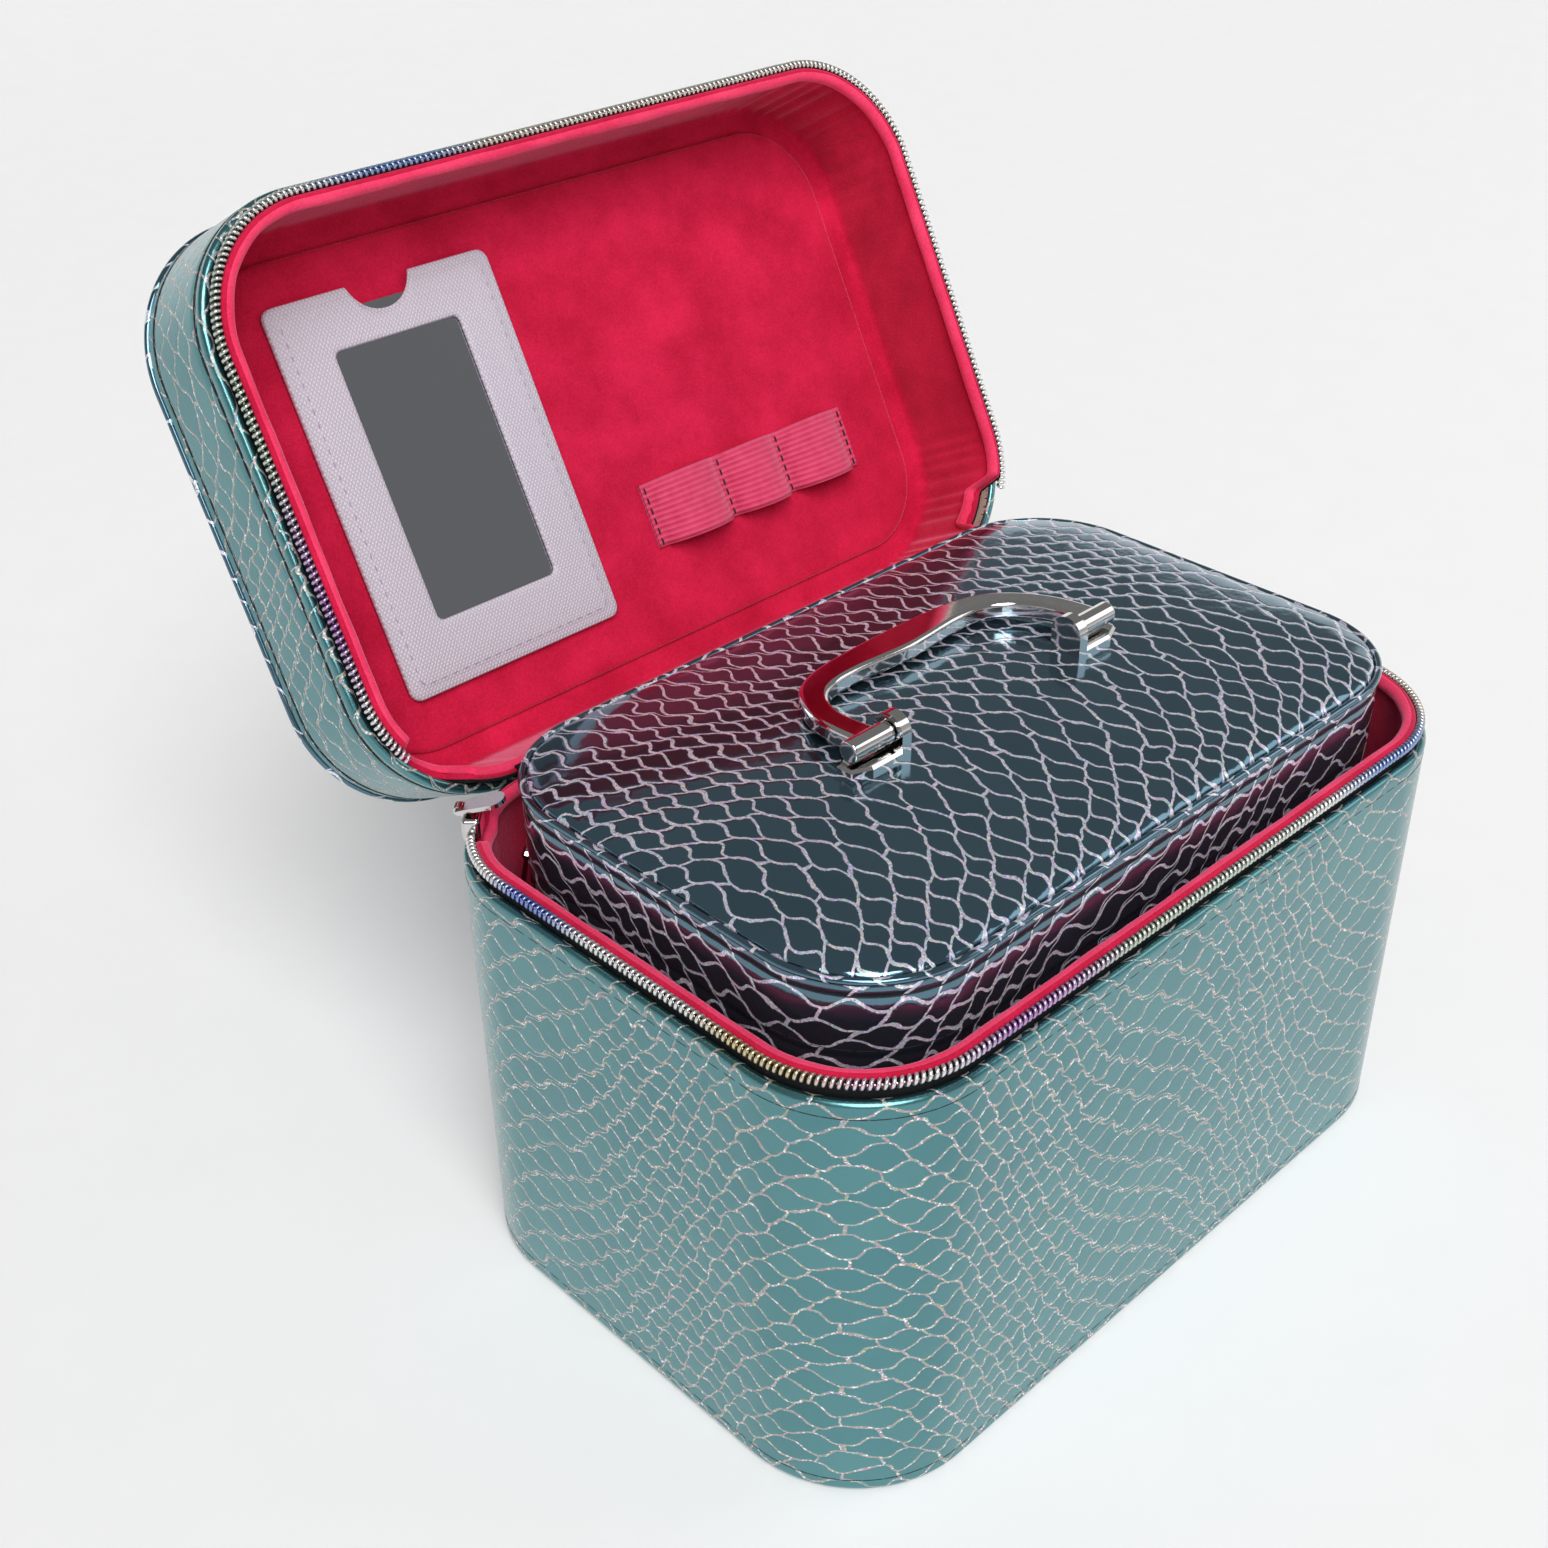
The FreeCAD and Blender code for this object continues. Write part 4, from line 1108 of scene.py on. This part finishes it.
@dataclass
class HingeStrip:
    """Black fabric strip over the rear joint, sewn to both linings, shaped as it lies with the lid open.

    Attributes:
        half_x: half its length.
        near: where a lap starts, from the parting plane.
        far: where a lap ends.
        half_t: half its thickness.
    """

    half_x: float = 82 * MM
    near: float = 1.6 * MM
    far: float = 6.5 * MM
    half_t: float = 0.35 * MM

    def build(self, fin: Finishes) -> None:
        """Strip along X whose section climbs the base's lining, turns over the axis and follows the lid's."""
        face = OUTER.depth / 2 - SKIN_T - LINING_T - self.half_t
        shut = np.array([[face, PART_Z + w] for w in np.linspace(self.near, self.far, 6)])
        lid = opened(np.stack([0 * shut[:, 0], shut[:, 0], shut[:, 1]], -1))[:, 1:]
        base = np.array([[face, PART_Z + w] for w in np.linspace(-self.far, -self.near, 6)])
        t = np.linspace(0, 1, 9)[1:-1, None]
        peak = np.array([face + 0.6 * MM, PART_Z + 2.4 * MM])
        turn = base[-1] * (1 - t) ** 2 + 2 * t * (1 - t) * peak + lid[0] * t ** 2
        line = np.vstack([base, turn, lid])
        way = np.gradient(line, axis=0)
        way /= np.linalg.norm(way, axis=1)[:, None]
        side = np.stack([-way[:, 1], way[:, 0]], -1) * self.half_t
        section = np.vstack([line + side, (line - side * 0.2)[::-1]])
        x = np.linspace(-self.half_x, self.half_x, 120)
        points = np.stack(np.broadcast_arrays(x[None], section[:, :1], section[:, 1:]), -1)
        uv = np.stack(np.meshgrid(x, run_lengths(section)), -1)
        piece = grid_object("hinge_strip", points, uv, fin.tape, True, False)
        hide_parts("base_hinge_tape", "lid_hinge_tape")
        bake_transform(piece)


@dataclass
class Hardware:
    """Solid-model pieces that keep their shape and take a finish."""

    def dress(self, fin: Finishes) -> None:
        """Assigns a finish by what each node is."""
        rules = [("_board", fin.board), ("_underside", fin.under), ("_tape", fin.tape), ("_coil", fin.coil),
                 ("mirror", fin.mirror), ("handle", fin.chrome), ("lugs", fin.chrome), ("slider", fin.chrome),
                 ("pull", fin.chrome), ("_cover", fin.under), ("_pad", fin.under), ("_piping", fin.under),
                 ("lining", fin.velour), ("panel", fin.velour), ("pocket", fin.pocket), ("loops", fin.elastic)]
        for name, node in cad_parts.items():
            for word, material in rules:
                if word in name:
                    node.data.materials.clear()
                    node.data.materials.append(material)
                    break
            LOG.info("%s: finished", name)


@dataclass
class Studio:
    """Pale floor, soft lights and the photograph's camera."""

    def build(self) -> None:
        """Sets the stage."""
        self.floor()
        self.lights()
        self.camera()

    def floor(self) -> None:
        """One wide pale sheet that is flat under the cases and curves up far around them."""
        flat, far, high = 3.0, 4.2, 1.5
        sweep = np.linspace(0.0, math.pi / 2, 13)
        reach = np.concatenate([[0.001], flat + (far - flat) * np.sin(sweep)])
        height = np.concatenate([[0.0], high * (1.0 - np.cos(sweep))])
        angle = np.arange(96) * 2 * math.pi / 96
        points = np.stack([reach[:, None] * np.cos(angle), reach[:, None] * np.sin(angle),
                           np.broadcast_to(height[:, None], (len(reach), len(angle)))], -1)
        g = Graph("pale_floor")
        grain = g.noise(g.space(), 40.0, 3.0).outputs["Fac"]
        g.set(Base_Color=g.mix(grain, (0.925, 0.92, 0.92, 1), (0.95, 0.945, 0.945, 1)), Roughness=0.6)
        sheet = grid_object("floor", points, np.zeros((len(reach), len(angle) + 1, 2)), g.material, False, True)

    def lights(self) -> None:
        """A dim room, one broad soft sun from the left front and two softboxes."""
        world = bpy.data.worlds.new("studio")
        bpy.context.scene.world = world
        world.use_nodes = True
        ground = world.node_tree.nodes["Background"]
        ground.inputs[0].default_value = (1.0, 1.0, 1.0, 1.0)
        ground.inputs[1].default_value = 0.22
        sun = bpy.data.lights.new("sun", "SUN")
        sun.energy = 2.5
        sun.angle = math.radians(38)
        self.hang(sun, (-0.55, -0.8, 1.25))
        for name, spot, size, power in (("fill", (1.3, -0.9, 1.0), 0.8, 3.5), ("front", (-0.9, -1.0, 0.9), 0.45, 3.0)):
            lamp = bpy.data.lights.new(name, "AREA")
            lamp.size = size
            lamp.energy = power
            self.hang(lamp, spot)

    @staticmethod
    def hang(lamp: bpy.types.Light, spot: Sequence[float]) -> None:
        """Puts a lamp at a spot, aimed at the cases."""
        holder = bpy.data.objects.new(lamp.name, lamp)
        holder.location = spot
        holder.rotation_euler = (Vector((0.0, 0.0, 0.1)) - Vector(spot)).to_track_quat("-Z", "Y").to_euler()
        bpy.context.scene.collection.objects.link(holder)

    def camera(self) -> None:
        """Camera solved from the photographed edges."""
        focal_px, azimuth, elevation, roll = 1995.2, math.radians(-43.781), math.radians(32.817), math.radians(-0.801)
        spot = Vector((-0.31959, -0.26582, 0.3855))
        ahead = Vector((-math.sin(azimuth) * math.cos(elevation), math.cos(azimuth) * math.cos(elevation),
                        -math.sin(elevation)))
        right = ahead.cross(Vector((0, 0, 1))).normalized()
        up = right.cross(ahead)
        across = right * math.cos(roll) + up * math.sin(roll)
        above = up * math.cos(roll) - right * math.sin(roll)
        lens = bpy.data.cameras.new("photo")
        lens.sensor_fit = "HORIZONTAL"
        lens.sensor_width = 36.0
        lens.lens = focal_px / PHOTO_PX * lens.sensor_width
        lens.clip_start = 0.01
        holder = bpy.data.objects.new("photo", lens)
        holder.matrix_world = Matrix((
            (across.x, above.x, -ahead.x, spot.x), (across.y, above.y, -ahead.y, spot.y),
            (across.z, above.z, -ahead.z, spot.z), (0, 0, 0, 1)))
        bpy.context.scene.collection.objects.link(holder)
        bpy.context.scene.camera = holder


def main() -> None:
    """Builds every piece, dresses the solids and sets the stage."""
    bpy.context.scene.view_settings.view_transform = "Standard"
    fin = Finishes()
    Hardware().dress(fin)
    corner = OUTER.spans[:3].sum() + OUTER.spans[3] / 2
    base = Half("base", "base", OUTER, BASE_H, PART_Z, Turn.UP, uv_at=(-corner, 0.0))
    lid = Half("lid", "lid", OUTER, LID_H, PART_Z, Turn.DOWN, True, (0.03 - corner, 0.17))
    inner_base = Half("inner_base", "inner_case", INNER, INNER_BASE_H, INNER_PART_Z, Turn.UP,
                      uv_at=(0.046 - corner, 0.41))
    inner_lid = Half("inner_lid", "inner_lid", INNER, INNER_LID_H, INNER_PART_Z, Turn.DOWN,
                     uv_at=(0.046 - corner, 0.07), flap=2.2 * MM)
    for half in (base, lid, inner_base, inner_lid):
        half.cover(fin)
        half.stitches(fin, (4.2 * MM, half.height - 4.0 * MM))
        half.lining(fin, 0.9 * MM if half is lid else 0.25 * MM)
    zip_start = OUTER.spans[0] + OUTER.spans[1] / 2 + 5.2 * MM
    base.tape(fin, ["base_zip_tape"])
    lid.tape(fin, ["lid_zip_tape"])
    base.coil(fin, "base_zip_coil", zip_start, 0.0)
    lid.coil(fin, "lid_zip_coil", zip_start + 1.6 * MM, 0.13)
    lid.pad(fin)
    inner_lid.pad(fin)
    LidFittings().build(fin)
    HingeStrip().build(fin)
    Studio().build()


if __name__ == "__main__":
    main()
